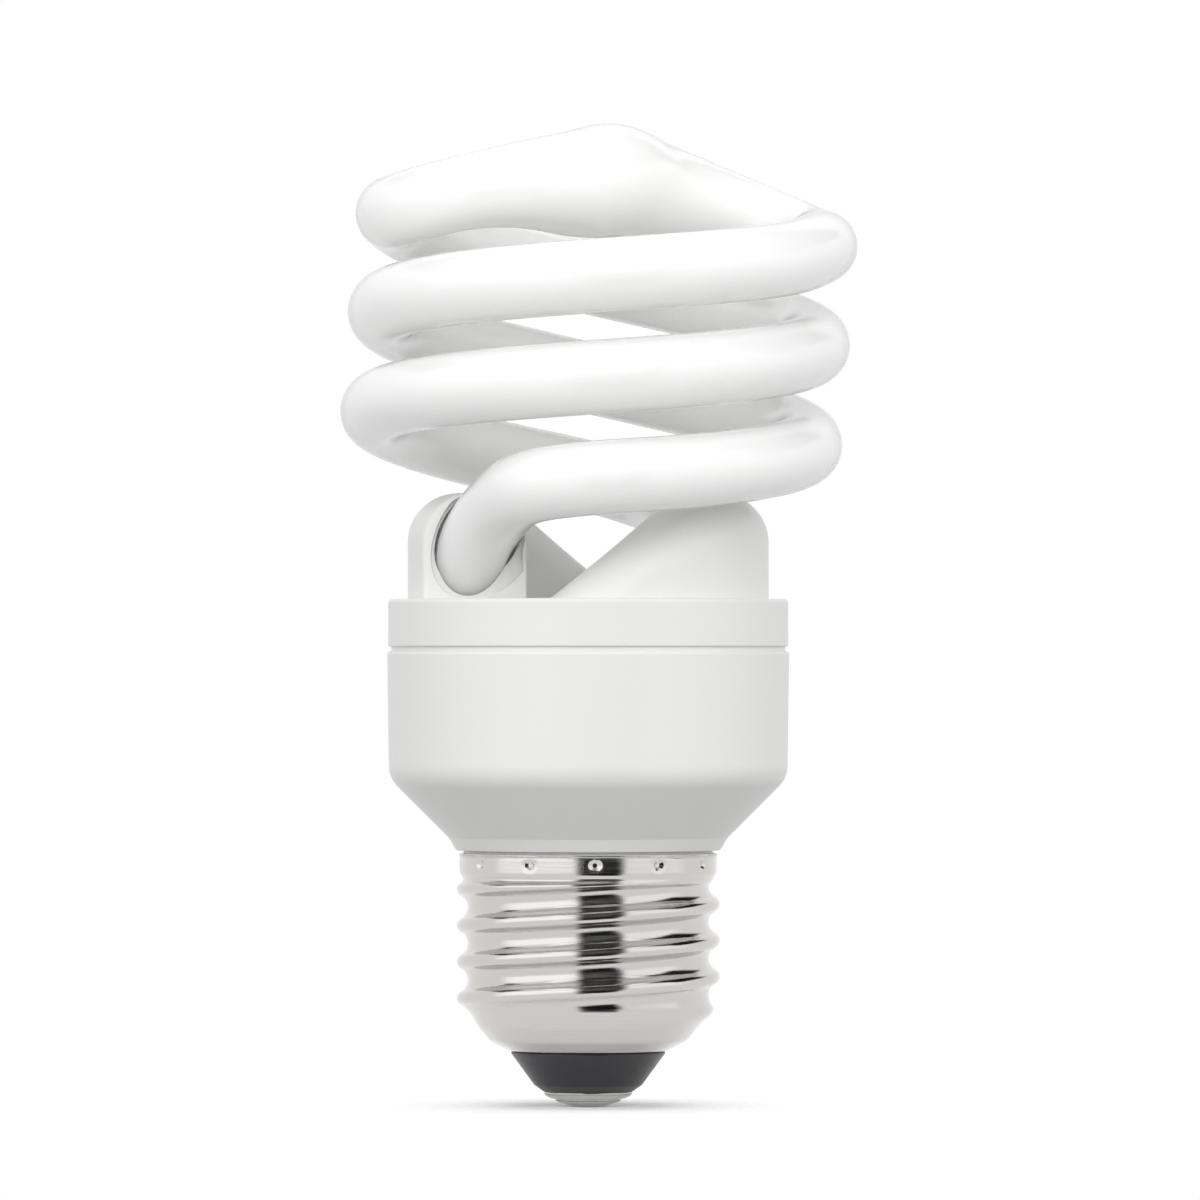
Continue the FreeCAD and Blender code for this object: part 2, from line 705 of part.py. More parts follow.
def shell_outline(inset):
    """The shell's section as (radius, height) places, with the thread's arcs, moved in by the inset."""
    pitch = size("thread_pitch")
    root = level(THREAD_ROOT) - inset
    crest = size("thread_crest_radius") - inset
    collar = level(COLLAR) - inset
    depth = crest - root
    swing = ((pitch / 4) ** 2 + (depth / 2) ** 2) / depth
    lean_in = math.asin(pitch / 4 / swing)
    edges = []
    lip_turn = math.radians(size("lip_wall_angle"))
    knee_turn = math.radians(size("knee_wall_angle"))
    lip = Vector(level(SHELL_LIP), 0, level(SHELL_LIP_LEVEL))
    lip += Vector(-math.cos(lip_turn), 0, math.sin(lip_turn)) * inset
    knee = Vector(level(BOWL_KNEE), 0, level(BOWL_KNEE_LEVEL))
    knee += Vector(-math.cos(knee_turn), 0, math.sin(knee_turn)) * inset
    bowl = Vector(level(BOWL_EDGE) - inset, 0, level(BOWL_EDGE_LEVEL))
    knee_corner = Vector(bowl.x, 0, knee.z + (bowl.x - knee.x) * size("knee_bend"))
    edges.append(Part.LineSegment(lip, knee).toShape())
    edges.append(arc_between(knee, knee_corner, bowl))
    first = level(THREAD_FOOT_LEVEL)
    here = Vector(root, 0, first)
    edges.append(Part.LineSegment(bowl, here).toShape())
    for ridge in range(int(size("thread_ridges"))):
        low = first + ridge * pitch
        quarter = Vector(root + depth / 2, 0, low + pitch / 4)
        three = Vector(root + depth / 2, 0, low + 3 * pitch / 4)
        end = Vector(root, 0, low + pitch)
        top = Vector(crest, 0, low + pitch / 2)
        half = swing * math.sin(lean_in / 2)
        drop = swing * (1 - math.cos(lean_in / 2))
        edges.append(Part.Arc(here, Vector(root + drop, 0, low + half), quarter).toShape())
        edges.append(Part.Arc(quarter, top, three).toShape())
        edges.append(Part.Arc(three, Vector(root + drop, 0, low + pitch - half), end).toShape())
        here = end
    collar_top = level(COLLAR_TOP_LEVEL)
    low_collar = Vector(collar, 0, level(COLLAR_FOOT_LEVEL))
    top_collar = Vector(collar, 0, collar_top - 2 * size("rim_roll"))
    rim = Vector(collar + size("rim_roll"), 0, collar_top)
    edges.append(Part.LineSegment(here, low_collar).toShape())
    edges.append(Part.LineSegment(low_collar, top_collar).toShape())
    edges.append(Part.LineSegment(top_collar, rim).toShape())
    return edges, lip, rim


def arc_between(start, corner, end):
    """A curve that leaves start towards a corner and reaches end from it."""
    curve = Part.BezierCurve()
    curve.setPoles([start, corner, end])
    return curve.toShape()


def make_cap():
    """The screw cap: solder, contact, insulator and shell."""
    face = "sizes.contact_face_height"
    fill = "sizes.contact_face_height + sizes.solder_depth"
    as_node(turned("solder", [
        ("0", "0"),
        ("sizes.solder_flat_radius", "0"),
        ("sizes.solder_rim_radius", face),
        ("sizes.eyelet_bore_radius", face),
        ("sizes.eyelet_bore_radius", fill),
        ("0", fill),
    ]), "contact_solder")
    rim = CONTACT_RIM_LEVEL
    eyelet_top = "%s + sizes.eyelet_length" % CONTACT_RIM_LEVEL
    as_node(turned("contact", [
        ("sizes.eyelet_bore_radius", face),
        ("sizes.contact_face_radius", face),
        ("sizes.contact_edge_radius", CONTACT_EDGE_LEVEL),
        ("sizes.contact_rim_radius", rim),
        ("sizes.eyelet_radius", rim),
        ("sizes.eyelet_radius", eyelet_top),
        ("sizes.eyelet_bore_radius", eyelet_top),
    ]), "centre_contact")
    hole = "sizes.eyelet_radius + sizes.insulator_clearance"
    foot = "sizes.contact_rim_radius + sizes.insulator_foot_margin"
    under_lip = "%s - sizes.insulator_clearance" % SHELL_LIP_LEVEL
    throat = "%s - sizes.shell_wall - sizes.insulator_clearance" % SHELL_LIP
    over_lip = "%s + sizes.shell_wall + 2 * sizes.insulator_clearance" % SHELL_LIP_LEVEL
    flange = "%s - sizes.shell_wall" % BOWL_KNEE
    as_node(turned("insulator", [
        (hole, rim),
        ("sizes.contact_rim_radius", rim),
        (foot, INSULATOR_FOOT_LEVEL),
        ("%s + sizes.insulator_step_margin" % foot, INSULATOR_STEP_LEVEL),
        ("%s - sizes.insulator_lip_margin" % SHELL_LIP, under_lip),
        (throat, under_lip),
        (throat, over_lip),
        (flange, OVER_KNEE_LEVEL),
        (flange, INSULATOR_TOP_LEVEL),
        (hole, INSULATOR_TOP_LEVEL),
    ]), "cap_insulator")
    outer, outer_lip, outer_rim = shell_outline(0)
    inner, inner_lip, inner_rim = shell_outline(size("shell_wall"))
    outline = outer + inner
    outline.append(Part.LineSegment(outer_lip, inner_lip).toShape())
    outline.append(Part.LineSegment(outer_rim, inner_rim).toShape())
    section = Part.Face(Part.Wire(Part.__sortEdges__(outline)))
    shell = section.revolve(Vector(0, 0, 0), Vector(0, 0, 1), 360)
    as_node(shaped("shell", shell), "screw_shell")


def make_housing():
    """The lower casing: straight top, rounded shoulder, cone, lip, and a neck inside the shell."""
    slope = "(%s - %s)" % (SHOULDER_LEVEL, HOUSING_SHOULDER)
    inner_slope = "(%s + sizes.housing_wall * sqrt(2))" % slope
    seam = "(sizes.housing_top_radius - sizes.seam_depth)"
    spigot_foot = "(%s + sizes.spigot_foot_clearance)" % COLLAR_FOOT_LEVEL
    ledge_top = BOARD_FACE
    ledge_foot = "(%s - sizes.ledge_thickness)" % ledge_top
    ledge_bore = "(%s - sizes.ledge_width)" % HOUSING_BORE
    ledge_slope = "(%s - sizes.ledge_width)" % ledge_foot
    as_node(turned("housing", [
        (HOUSING_BORE, HOUSING_TOP),
        (seam, HOUSING_TOP),
        (seam, HOUSING_RIM_LEVEL),
        ("sizes.housing_top_radius", HOUSING_RIM_LEVEL),
        (HOUSING_SHOULDER, SHOULDER_LEVEL),
        (LIP, CONE_LEVEL),
        (LIP, LIP_LEVEL),
        ("%s - sizes.lip_setback" % LIP, HOUSING_FOOT_LEVEL),
        (SPIGOT, HOUSING_FOOT_LEVEL),
        (SPIGOT, spigot_foot),
        (NECK, spigot_foot),
        (NECK, NECK_FOOT_LEVEL),
        (NECK_BORE, NECK_FOOT_LEVEL),
        (NECK_BORE, "%s + %s" % (NECK_BORE, inner_slope)),
        (HOUSING_BORE, "%s + %s" % (HOUSING_BORE, inner_slope)),
        (HOUSING_BORE, ledge_slope),
        (ledge_bore, ledge_foot),
        (ledge_bore, ledge_top),
        (HOUSING_BORE, ledge_top),
    ], [(HOUSING_SHOULDER, SHOULDER_LEVEL, "sizes.shoulder_round")]),
        "ballast_housing")


def make_tube():
    """The discharge tube: a round section carried along each arm, and the crossing between them."""
    arms = [tube_along(arm, size("tube_radius")) for arm in tube_arms()]
    as_node(combined("MultiFuse", "tube", [
        shaped("first_arm", arms[0]),
        shaped("crossing", make_crossing()),
        shaped("second_arm", arms[1]),
    ]), "discharge_tube")


def make_holder():
    """The upper casing: a rim, a top plate, a skirt, and two hoods for the ends of the tube."""
    skirt = "(%s - sizes.holder_skirt_clearance)" % HOUSING_BORE
    skirt_bore = "(%s - sizes.holder_skirt_wall)" % skirt
    plate = turned("holder_plate", [
        ("0", HOLDER_UNDER),
        (skirt_bore, HOLDER_UNDER),
        (skirt_bore, SKIRT_FOOT),
        (skirt, SKIRT_FOOT),
        (skirt, HOLDER_FOOT),
        (HOLDER, HOLDER_FOOT),
        (HOLDER, HOLDER_TOP),
        ("0", HOLDER_TOP),
    ], [(HOLDER, HOLDER_TOP, "sizes.holder_edge_round")])
    floor = level(HOLDER_TOP) - size("holder_wall") / 2
    mouth = size("hood_mouth_offset")
    form = with_round_mouth(hood(0, floor, mouth), mouth)
    hollow = hood(size("hood_wall"), level(HOLDER_UNDER) - size("hood_wall"), mouth - size("hood_wall"))
    ways_out = [tube_along(arm, size("tube_radius") + size("tube_clearance")) for arm in tube_arms()]
    hoods = combined("MultiFuse", "hoods", [
        plate,
        shaped("left_hood", form),
        shaped("right_hood", half_turn(form)),
    ])
    hollows = combined("MultiFuse", "hollows", [
        shaped("left_hollow", hollow),
        shaped("right_hollow", half_turn(hollow)),
        shaped("left_way", ways_out[0]),
        shaped("right_way", ways_out[1]),
    ])
    as_node(less("holder", hoods, hollows), "tube_holder")


def make_cement():
    """The putty round each foot of the tube, inside its hood."""
    gap = size("cement_clearance")
    floor = level(CEMENT_FOOT)
    fill = hood(size("hood_wall") + gap, floor, size("hood_mouth_offset") - size("hood_wall") - gap)
    foot = ring_point(level(HOOD_RING), size("foot_ring_angle"), floor)
    plug = Part.makeCylinder(size("cement_reach"), size("cement_thickness"), foot)
    ring = fill.common(plug)
    bores = [tube_along(arm, size("tube_radius") + gap) for arm in tube_arms()]
    as_node(less("cement", shaped("cement_rings", Part.makeCompound([ring, half_turn(ring)])),
                 shaped("cement_bores", Part.makeCompound(bores))), "tube_cement")


def make_choke():
    """The choke: two E-shaped core halves round a wound bobbin, on the left of the board."""
    middle = "(%s - sizes.core_depth / 2 - sizes.bobbin_flange_height)" % SEAT
    half = "(sizes.core_length - sizes.core_gap) / 2"
    low = "(%s - sizes.core_depth / 2)" % middle
    leg = "(%s - sizes.core_back)" % half
    side = "(sizes.core_width - sizes.core_back) / 2"
    halves = []
    for name, sign in (("left", "-"), ("right", "+")):
        back = "%s %s (sizes.core_length - sizes.core_back) / 2" % (CHOKE_X, sign)
        legs = "%s %s (sizes.core_gap + %s) / 2" % (CHOKE_X, sign, leg)
        halves.append(combined("MultiFuse", "core_" + name, [
            block(name + "_back", "sizes.core_back", "sizes.core_width", "sizes.core_depth",
                  back, "sizes.choke_y", low),
            block(name + "_near_leg", leg, "sizes.core_back", "sizes.core_depth",
                  legs, "(sizes.choke_y - %s)" % side, low),
            block(name + "_far_leg", leg, "sizes.core_back", "sizes.core_depth",
                  legs, "(sizes.choke_y + %s)" % side, low),
            block(name + "_centre_leg", leg, "sizes.core_centre_leg", "sizes.core_depth",
                  legs, "sizes.choke_y", low),
        ]))
    as_node(grouped("core", halves), "choke_core")
    bore_width = "(sizes.core_centre_leg + 2 * sizes.bobbin_clearance)"
    bore_height = "(sizes.core_depth + 2 * sizes.bobbin_clearance)"
    tube_width = "(%s + 2 * sizes.bobbin_wall)" % bore_width
    tube_height = "(%s + 2 * sizes.bobbin_wall)" % bore_height
    length = "(sizes.core_length - 2 * sizes.core_back - 2 * sizes.bobbin_clearance)"
    flange_width = "(sizes.core_width - 2 * sizes.core_back - 2 * sizes.bobbin_clearance)"
    flange_height = "(sizes.core_depth + 2 * sizes.bobbin_flange_height)"
    flanges = []
    for name, sign in (("left", "-"), ("right", "+")):
        place = "%s %s (%s - sizes.bobbin_flange) / 2" % (CHOKE_X, sign, length)
        flanges.append(block(name + "_flange", "sizes.bobbin_flange", flange_width, flange_height,
                             place, "sizes.choke_y", centred(middle, flange_height)))
    barrel = block("barrel", length, tube_width, tube_height, CHOKE_X, "sizes.choke_y",
                   centred(middle, tube_height))
    bore = block("bobbin_bore", length, bore_width, bore_height, CHOKE_X, "sizes.choke_y",
                 centred(middle, bore_height))
    spool = less("spool", combined("MultiFuse", "spool", [barrel] + flanges), bore)
    pins = []
    for name, sign in (("left", "-"), ("right", "+")):
        for side_name, side_sign in (("near", "-"), ("far", "+")):
            pins.append(lead(
                "choke_%s_%s" % (name, side_name),
                "(%s %s (%s - sizes.bobbin_flange) / 2)" % (CHOKE_X, sign, length),
                "(sizes.choke_y %s (%s / 2 - sizes.choke_pin_margin))" % (side_sign, flange_width),
                "(%s + %s / 2 - sizes.bobbin_flange)" % (middle, flange_height)))
    as_node(combined("MultiFuse", "bobbin", [spool] + pins), "choke_bobbin")
    coil_length = "(%s - 2 * sizes.bobbin_flange)" % length
    coil_bore_width = "(%s + 2 * sizes.winding_clearance)" % tube_width
    coil_bore_height = "(%s + 2 * sizes.winding_clearance)" % tube_height
    coil_width = "(%s + 2 * sizes.winding_build)" % coil_bore_width
    coil_height = "(%s + 2 * sizes.winding_build)" % coil_bore_height
    coil = block("coil", "(%s - 2 * sizes.winding_clearance)" % coil_length, coil_width, coil_height,
                 CHOKE_X, "sizes.choke_y", centred(middle, coil_height))
    hole = block("coil_bore", length, coil_bore_width, coil_bore_height,
                 CHOKE_X, "sizes.choke_y", centred(middle, coil_bore_height))
    as_node(less("winding", coil, hole), "choke_winding")


def centred(middle, height):
    """The foot of something whose middle height is given."""
    return "(%s - %s / 2)" % (middle, height)


def grouped(label, items):
    """Several solids that are one node and don't touch."""
    item = doc.addObject("Part::Compound", label + "_group")
    item.Links = items
    return item


def make_film_capacitor(label, x, y, length, depth, height):
    """A dipped film capacitor: a rounded block on two leads."""
    low = "(%s - %s)" % (SEAT, height)
    case = block(label, length, depth, height, x, y, low)
    soft = doc.addObject("Part::Fillet", label + "_rounded")
    soft.Base = case
    doc.recompute()
    radius = size("film_round")
    soft.Edges = [(number, radius, radius) for number in range(1, 13)]
    half_pitch = "(%s - sizes.film_pitch_margin) / 2" % length
    root = "(%s - sizes.film_round)" % SEAT
    legs = [
        lead(label + "_first", "(%s - %s)" % (x, half_pitch), y, root),
        lead(label + "_second", "(%s + %s)" % (x, half_pitch), y, root),
    ]
    as_node(combined("MultiFuse", label, [soft] + legs), label + "_capacitor")


def make_smoothing_capacitor():
    """The tall electrolytic capacitor, which hangs down into the neck."""
    x = "sizes.smoothing_x"
    y = "sizes.smoothing_y"
    low = "(%s - sizes.smoothing_length)" % SEAT
    can = rod("can", "sizes.smoothing_radius", "sizes.smoothing_length", x, y, low)
    ring = rod("groove", "sizes.smoothing_radius + sizes.component_gap", "sizes.sleeve_groove_height", x, y,
               "(%s - sizes.sleeve_groove_offset - sizes.sleeve_groove_height)" % SEAT)
    core = rod("groove_core", "sizes.smoothing_radius - sizes.sleeve_groove_depth",
               "sizes.sleeve_groove_height", x, y,
               "(%s - sizes.sleeve_groove_offset - sizes.sleeve_groove_height)" % SEAT)
    grooved = less("grooved_can", can, less("groove", ring, core))
    root = "(%s - sizes.lead_radius)" % SEAT
    legs = [
        lead("smoothing_first", "(%s - sizes.smoothing_pitch / 2)" % x, y, root),
        lead("smoothing_second", "(%s + sizes.smoothing_pitch / 2)" % x, y, root),
    ]
    as_node(combined("MultiFuse", "smoothing", [grooved] + legs), "smoothing_capacitor")


def make_transistor(label, y):
    """A flat power transistor with a fixing hole, which hangs on three leads."""
    top = "(%s - sizes.transistor_standoff)" % BOARD_FACE
    low = "(%s - sizes.transistor_height)" % top
    case = block(label, "sizes.transistor_depth", "sizes.transistor_width", "sizes.transistor_height",
                 TRANSISTOR_X, y, low)
    hole = doc.addObject("Part::Cylinder", label + "_hole")
    bind(hole, {
        "Radius": "sizes.transistor_hole_radius",
        "Height": "2 * sizes.transistor_depth",
        "Placement.Base.x": "%s - sizes.transistor_depth" % TRANSISTOR_X,
        "Placement.Base.y": y,
        "Placement.Base.z": "%s + 2 * sizes.transistor_hole_radius" % low,
    })
    hole.Placement.Rotation = Rotation(Vector(0, 1, 0), 90)
    legs = []
    for place in (-1, 0, 1):
        legs.append(lead("%s_leg_%d" % (label, place + 2), TRANSISTOR_X,
                         "(%s + %d * sizes.transistor_lead_pitch)" % (y, place),
                         "(%s - sizes.lead_radius)" % top))
    as_node(combined("MultiFuse", label, [less(label, case, hole)] + legs), label)


def make_thermistor():
    """The preheat thermistor: an upright disc on two leads."""
    x = "sizes.thermistor_x"
    y = THERMISTOR_Y
    disc = doc.addObject("Part::Cylinder", "thermistor_disc")
    bind(disc, {
        "Radius": "sizes.thermistor_radius",
        "Height": "sizes.thermistor_thickness",
        "Placement.Base.x": x,
        "Placement.Base.y": "%s + sizes.thermistor_thickness / 2" % y,
        "Placement.Base.z": "%s - sizes.thermistor_radius" % SEAT,
    })
    disc.Placement.Rotation = Rotation(Vector(1, 0, 0), 90)
    root = "(%s - sizes.thermistor_radius)" % SEAT
    legs = [
        lead("thermistor_first", "(%s - sizes.thermistor_pitch / 2)" % x, y, root),
        lead("thermistor_second", "(%s + sizes.thermistor_pitch / 2)" % x, y, root),
    ]
    as_node(combined("MultiFuse", "thermistor", [disc] + legs), "preheat_thermistor")


def standing_part(label, radius, length, x, y, fold_way):
    """A small part that stands on end, its far lead folded back up to the board."""
    low = "(%s - %s)" % (SEAT, length)
    case = rod(label, radius, length, x, y, low)
    near = lead(label + "_near", x, y, "(%s - sizes.lead_radius)" % SEAT)
    turn = math.radians(fold_way)
    far_x = "(%s + sizes.fold_pitch * %.6f)" % (x, math.cos(turn))
    far_y = "(%s + sizes.fold_pitch * %.6f)" % (y, math.sin(turn))
    lead_spots.append((far_x, far_y))
    drop = 2 * size("fold_radius")
    start = Vector(level(x), level(y), level(low))
    top = Vector(level(far_x), level(far_y), level(LEAD_TOP))
    route = rounded_route([
        start,
        start - Vector(0, 0, drop),
        Vector(top.x, top.y, start.z - drop),
        top,
    ])
    folded = shaped(label + "_fold", tube_along(route, size("lead_radius")))
    return combined("MultiFuse", label, [case, near, folded])


def make_standing_parts():
    """Four diodes in a row along the board's edge, the trigger diac and the resistors."""
    diodes = []
    for number in range(4):
        angle = size("diode_first_angle") + number * size("diode_step_angle")
        place = "(sizes.diode_first_angle + %d * sizes.diode_step_angle)" % number
        x, y = on_ring(DIODE_RING, place)
        diodes.append(standing_part("diode_%d" % (number + 1), "sizes.diode_radius", "sizes.diode_length",
                                    x, y, angle + 180))
    as_node(grouped("diodes", diodes), "rectifier_diodes")
    x, y = on_ring(DIODE_RING, "sizes.diac_angle")
    as_node(standing_part("diac", "sizes.diac_radius", "sizes.diac_length", x, y, size("diac_angle") + 180),
            "trigger_diac")
    edge_x, edge_y = on_ring(DIODE_RING, "sizes.edge_resistor_angle")
    resistors = [
        standing_part("resistor_1", "sizes.resistor_radius", "sizes.resistor_length",
                      RESISTOR_X, "sizes.lower_resistor_y", 90),
        standing_part("resistor_2", "sizes.resistor_radius", "sizes.resistor_length",
                      RESISTOR_X, "sizes.upper_resistor_y", 180),
        standing_part("resistor_3", "sizes.resistor_radius", "sizes.resistor_length",
                      edge_x, edge_y, size("edge_resistor_angle") + 90),
    ]
    as_node(grouped("resistors", resistors), "base_resistors")


def on_ring(radius, angle):
    """The x and y rules of a place at a radius and an angle in degrees."""
    return "(%s * cos(%s * 1 deg))" % (radius, angle), "(%s * sin(%s * 1 deg))" % (radius, angle)


def make_transformer():
    """The ring core that drives the transistors, with three small windings."""
    thickness = size("toroid_outer_radius") - size("toroid_inner_radius")
    loop = math.hypot(thickness / 2, size("toroid_height") / 2) + size("toroid_wire_radius")
    loop += size("toroid_turn_gap")
    wire = size("toroid_wire_radius")
    mean = (size("toroid_outer_radius") + size("toroid_inner_radius")) / 2
    reach = mean + loop + wire
    y = size("smoothing_y") - size("smoothing_radius") - size("component_gap") - reach
    middle = level(SEAT) - loop - wire
    centre = Vector(size("toroid_x"), y, middle)
    foot = centre - Vector(0, 0, size("toroid_height") / 2)
    ring = Part.makeCylinder(size("toroid_outer_radius"), size("toroid_height"), foot)
    ring = ring.cut(Part.makeCylinder(size("toroid_inner_radius"), size("toroid_height"), foot))
    as_node(shaped("toroid", ring), "transformer_core")
    step = size("toroid_turn_step")
    turns = []
    for winding in ("lower_base", "upper_base", "drive"):
        for number in range(int(size(winding + "_turns"))):
            angle = size(winding + "_angle") + number * step
            place = centre + ring_point(mean, angle, 0)
            across = Vector(-math.sin(math.radians(angle)), math.cos(math.radians(angle)), 0)
            turns.append(Part.makeTorus(loop, wire, place, across))
    as_node(shaped("toroid_turns", Part.makeCompound(turns)), "transformer_windings")


def make_board():
    """The round circuit board on the housing's ledge, with a hole for each lead and wire."""
    radius = "(%s - sizes.board_clearance)" % HOUSING_BORE
    disc = rod("board", radius, "sizes.board_thickness", "0", "0", BOARD_FACE)
    bores = []
    for number, (x, y) in enumerate(lead_spots):
        bores.append(rod("bore_%d" % number, "sizes.lead_radius + sizes.lead_clearance",
                         "3 * sizes.board_thickness", x, y, "(%s - sizes.board_thickness)" % BOARD_FACE))
    for number, (x, y) in enumerate(WIRE_SPOTS):
        bores.append(rod("wire_bore_%d" % number, "sizes.wire_radius + sizes.wire_clearance",
                         "3 * sizes.board_thickness", x, y, "(%s - sizes.board_thickness)" % BOARD_FACE))
    slots = []
    hole = "(sizes.pin_width + 2 * sizes.lead_clearance)"
    for number, (x, y) in enumerate(pin_spots()):
        slots.append(block("slot_%d" % number, hole, hole, "3 * sizes.board_thickness", x, y,
                           "(%s - sizes.board_thickness)" % BOARD_FACE))
    as_node(less("board", disc, grouped("bores", bores + slots)), "circuit_board")


def pin_spots():
    """The four places of the winding pins, two beside each foot of the tube."""
    spots = []
    for half in (0, 180):
        for number in range(2):
            angle = "(sizes.pin_first_angle + %d * sizes.pin_step_angle + %d)" % (number, half)
            spots.append(on_ring(PIN_RING, angle))
    return spots


def make_pins_and_leads():
    """Four square pins on the board, and the wires that come to them from the tube's feet."""
    pins = []
    height = "(%s - %s)" % (PIN_TOP, BOARD_FACE)
    width = "sizes.pin_width"
    for number, (x, y) in enumerate(pin_spots()):
        pins.append(block("pin_%d" % number, width, width, height, x, y, BOARD_FACE))
    as_node(grouped("pins", pins), "winding_pins")
    foot = ring_point(level(HOOD_RING), size("foot_ring_angle"), level(TUBE_FOOT))
    way = heading(size("foot_turn_angle"), size("foot_rise_angle")) * -1
    side = way.cross(Vector(0, 0, 1)).normalize()
    wires = []
    for (x, y), way_out in zip(pin_spots()[:2], (1, -1)):
        pin = Vector(level(x), level(y), 0)
        start = foot + side * (way_out * size("filament_spread")) + way * size("wire_clearance")
        knee = start + way * size("filament_drop")
        gap = size("pin_width") / math.sqrt(2) + size("filament_wire_radius")
        back = (Vector(knee.x, knee.y, 0) - pin).normalize()
        end = pin + back * gap
        end.z = level(PIN_TOP) - size("pin_width")
        wires.append(tube_along(rounded_route([start, knee, end]), size("filament_wire_radius")))
    wires += [half_turn(wire) for wire in wires]
    as_node(shaped("filament_wires", Part.makeCompound(wires)), "filament_leads")


def make_wires():
    """The live side, from the contact through the fusible resistor, and the neutral from the shell."""
    low = level(FUSIBLE_FOOT_LEVEL)
    lead_length = size("fusible_lead_length")
    top = low + size("fusible_length")
    case = Part.makeCylinder(size("fusible_radius"), size("fusible_length"), Vector(0, 0, low))
    stem = Part.makeCylinder(size("lead_radius"), size("fusible_length") + 2 * lead_length,
                             Vector(0, 0, low - lead_length))
    as_node(shaped("fusible", case.fuse(stem)), "fusible_resistor")
    gap = size("wire_clearance")
    foot = size("contact_face_height") + size("solder_depth") + gap
    run = low - lead_length - gap
    radius = size("wire_radius")
    up = level(LEAD_TOP)
    contact_run = Part.makeCylinder(radius, run - foot, Vector(0, 0, foot))
    live_x, live_y = [level(rule) for rule in WIRE_SPOTS[0]]
    start = top + lead_length + gap
    climb = level(BOARD_FACE) - size("wire_climb")
    board_run = tube_along(rounded_route([
        Vector(0, 0, start),
        Vector(0, 0, start + 2 * radius),
        Vector(live_x, live_y, 0) * size("live_wire_bend") + Vector(0, 0, start + 4 * radius),
        Vector(live_x, live_y, climb),
        Vector(live_x, live_y, up),
    ]), radius)
    as_node(shaped("live", Part.makeCompound([contact_run, board_run])), "live_wire")
    x, y = [level(rule) for rule in WIRE_SPOTS[1]]
    across = Vector(x, y, 0).normalize()
    inside = level(NECK_BORE) - radius - 3 * gap
    touch = level(THREAD_ROOT) - size("shell_wall") - radius - 2 * gap
    neck_foot = level(NECK_FOOT_LEVEL)
    neutral = tube_along(rounded_route([
        across * touch + Vector(0, 0, neck_foot - size("neutral_drop")),
        across * (inside - radius) + Vector(0, 0, neck_foot - gap),
        across * inside + Vector(0, 0, level(HOUSING_FOOT_LEVEL)),
        Vector(x, y, climb),
        Vector(x, y, up),
    ]), radius)
    as_node(shaped("neutral", neutral), "neutral_wire")


make_cap()
make_housing()
make_tube()
make_holder()
make_cement()
make_choke()
make_film_capacitor("resonant", RESONANT_X, RESONANT_Y,
                    "sizes.resonant_length", "sizes.resonant_depth", "sizes.resonant_height")
make_film_capacitor("coupling", "sizes.coupling_x", COUPLING_Y,
                    "sizes.coupling_length", "sizes.coupling_depth", "sizes.coupling_height")
make_film_capacitor("suppression", SUPPRESSION_X, SUPPRESSION_Y,
                    "sizes.suppression_length", "sizes.suppression_depth", "sizes.suppression_height")
make_smoothing_capacitor()
make_transistor("upper_transistor", "sizes.upper_transistor_y")
make_transistor("lower_transistor", "sizes.lower_transistor_y")
make_thermistor()
make_standing_parts()
make_transformer()
make_pins_and_leads()
make_wires()
make_board()
doc.recompute()

for item in doc.Objects:
    if "Invalid" in item.State or "Error" in item.State:
        raise RuntimeError("%s failed: %s" % (item.Label, item.State))
os.makedirs("parts", exist_ok=True)
for node in nodes:
    if node.Shape.isNull() or not node.Shape.isValid():
        raise RuntimeError("%s has no valid shape" % node.Label)
    print("%-22s %10.2f mm3 %3d solid(s)" % (node.Label, node.Shape.Volume, len(node.Shape.Solids)))
for node in nodes:
    node.Shape.exportStep("parts/%s.step" % node.Label)
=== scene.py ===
"""Spiral energy saving bulb: the finished surfaces and the studio it stands in.

Lengths are metres in the lamp's own frame: the origin is the middle of the contact's flat
bottom, +Z runs up the lamp's axis and -Y faces the viewer.
"""
import math

import bmesh
import bpy
import numpy as np
from bpy.props import FloatProperty, FloatVectorProperty, IntProperty, PointerProperty
from mathutils import Matrix, Vector


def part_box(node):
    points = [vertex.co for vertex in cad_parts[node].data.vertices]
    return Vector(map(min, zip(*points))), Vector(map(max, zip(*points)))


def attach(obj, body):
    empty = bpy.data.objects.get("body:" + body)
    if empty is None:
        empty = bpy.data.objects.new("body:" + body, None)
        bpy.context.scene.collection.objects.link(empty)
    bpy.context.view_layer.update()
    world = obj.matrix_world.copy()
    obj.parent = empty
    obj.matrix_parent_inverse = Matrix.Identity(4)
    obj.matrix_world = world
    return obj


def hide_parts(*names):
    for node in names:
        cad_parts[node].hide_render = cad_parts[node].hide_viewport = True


bl_info = {
    "name": "Spiral bulb",
    "version": (1, 0, 0),
    "blender": (4, 5, 0),
    "location": "3D View > Sidebar > Spiral bulb",
    "description": "Builds the visible surfaces of a spiral energy saving bulb and its studio",
    "category": "Object",
}

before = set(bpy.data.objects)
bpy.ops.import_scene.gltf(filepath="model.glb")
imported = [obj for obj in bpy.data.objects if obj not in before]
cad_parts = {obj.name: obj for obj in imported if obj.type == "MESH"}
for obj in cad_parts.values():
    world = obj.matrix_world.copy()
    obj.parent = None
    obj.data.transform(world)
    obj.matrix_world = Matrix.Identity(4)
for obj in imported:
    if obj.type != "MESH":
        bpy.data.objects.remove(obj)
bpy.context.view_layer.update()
MM = 0.001
# A mix node's colours and its mixed colour have names that its other sockets share.
MIX_A, MIX_B, MIX_RESULT = 6, 7, 2


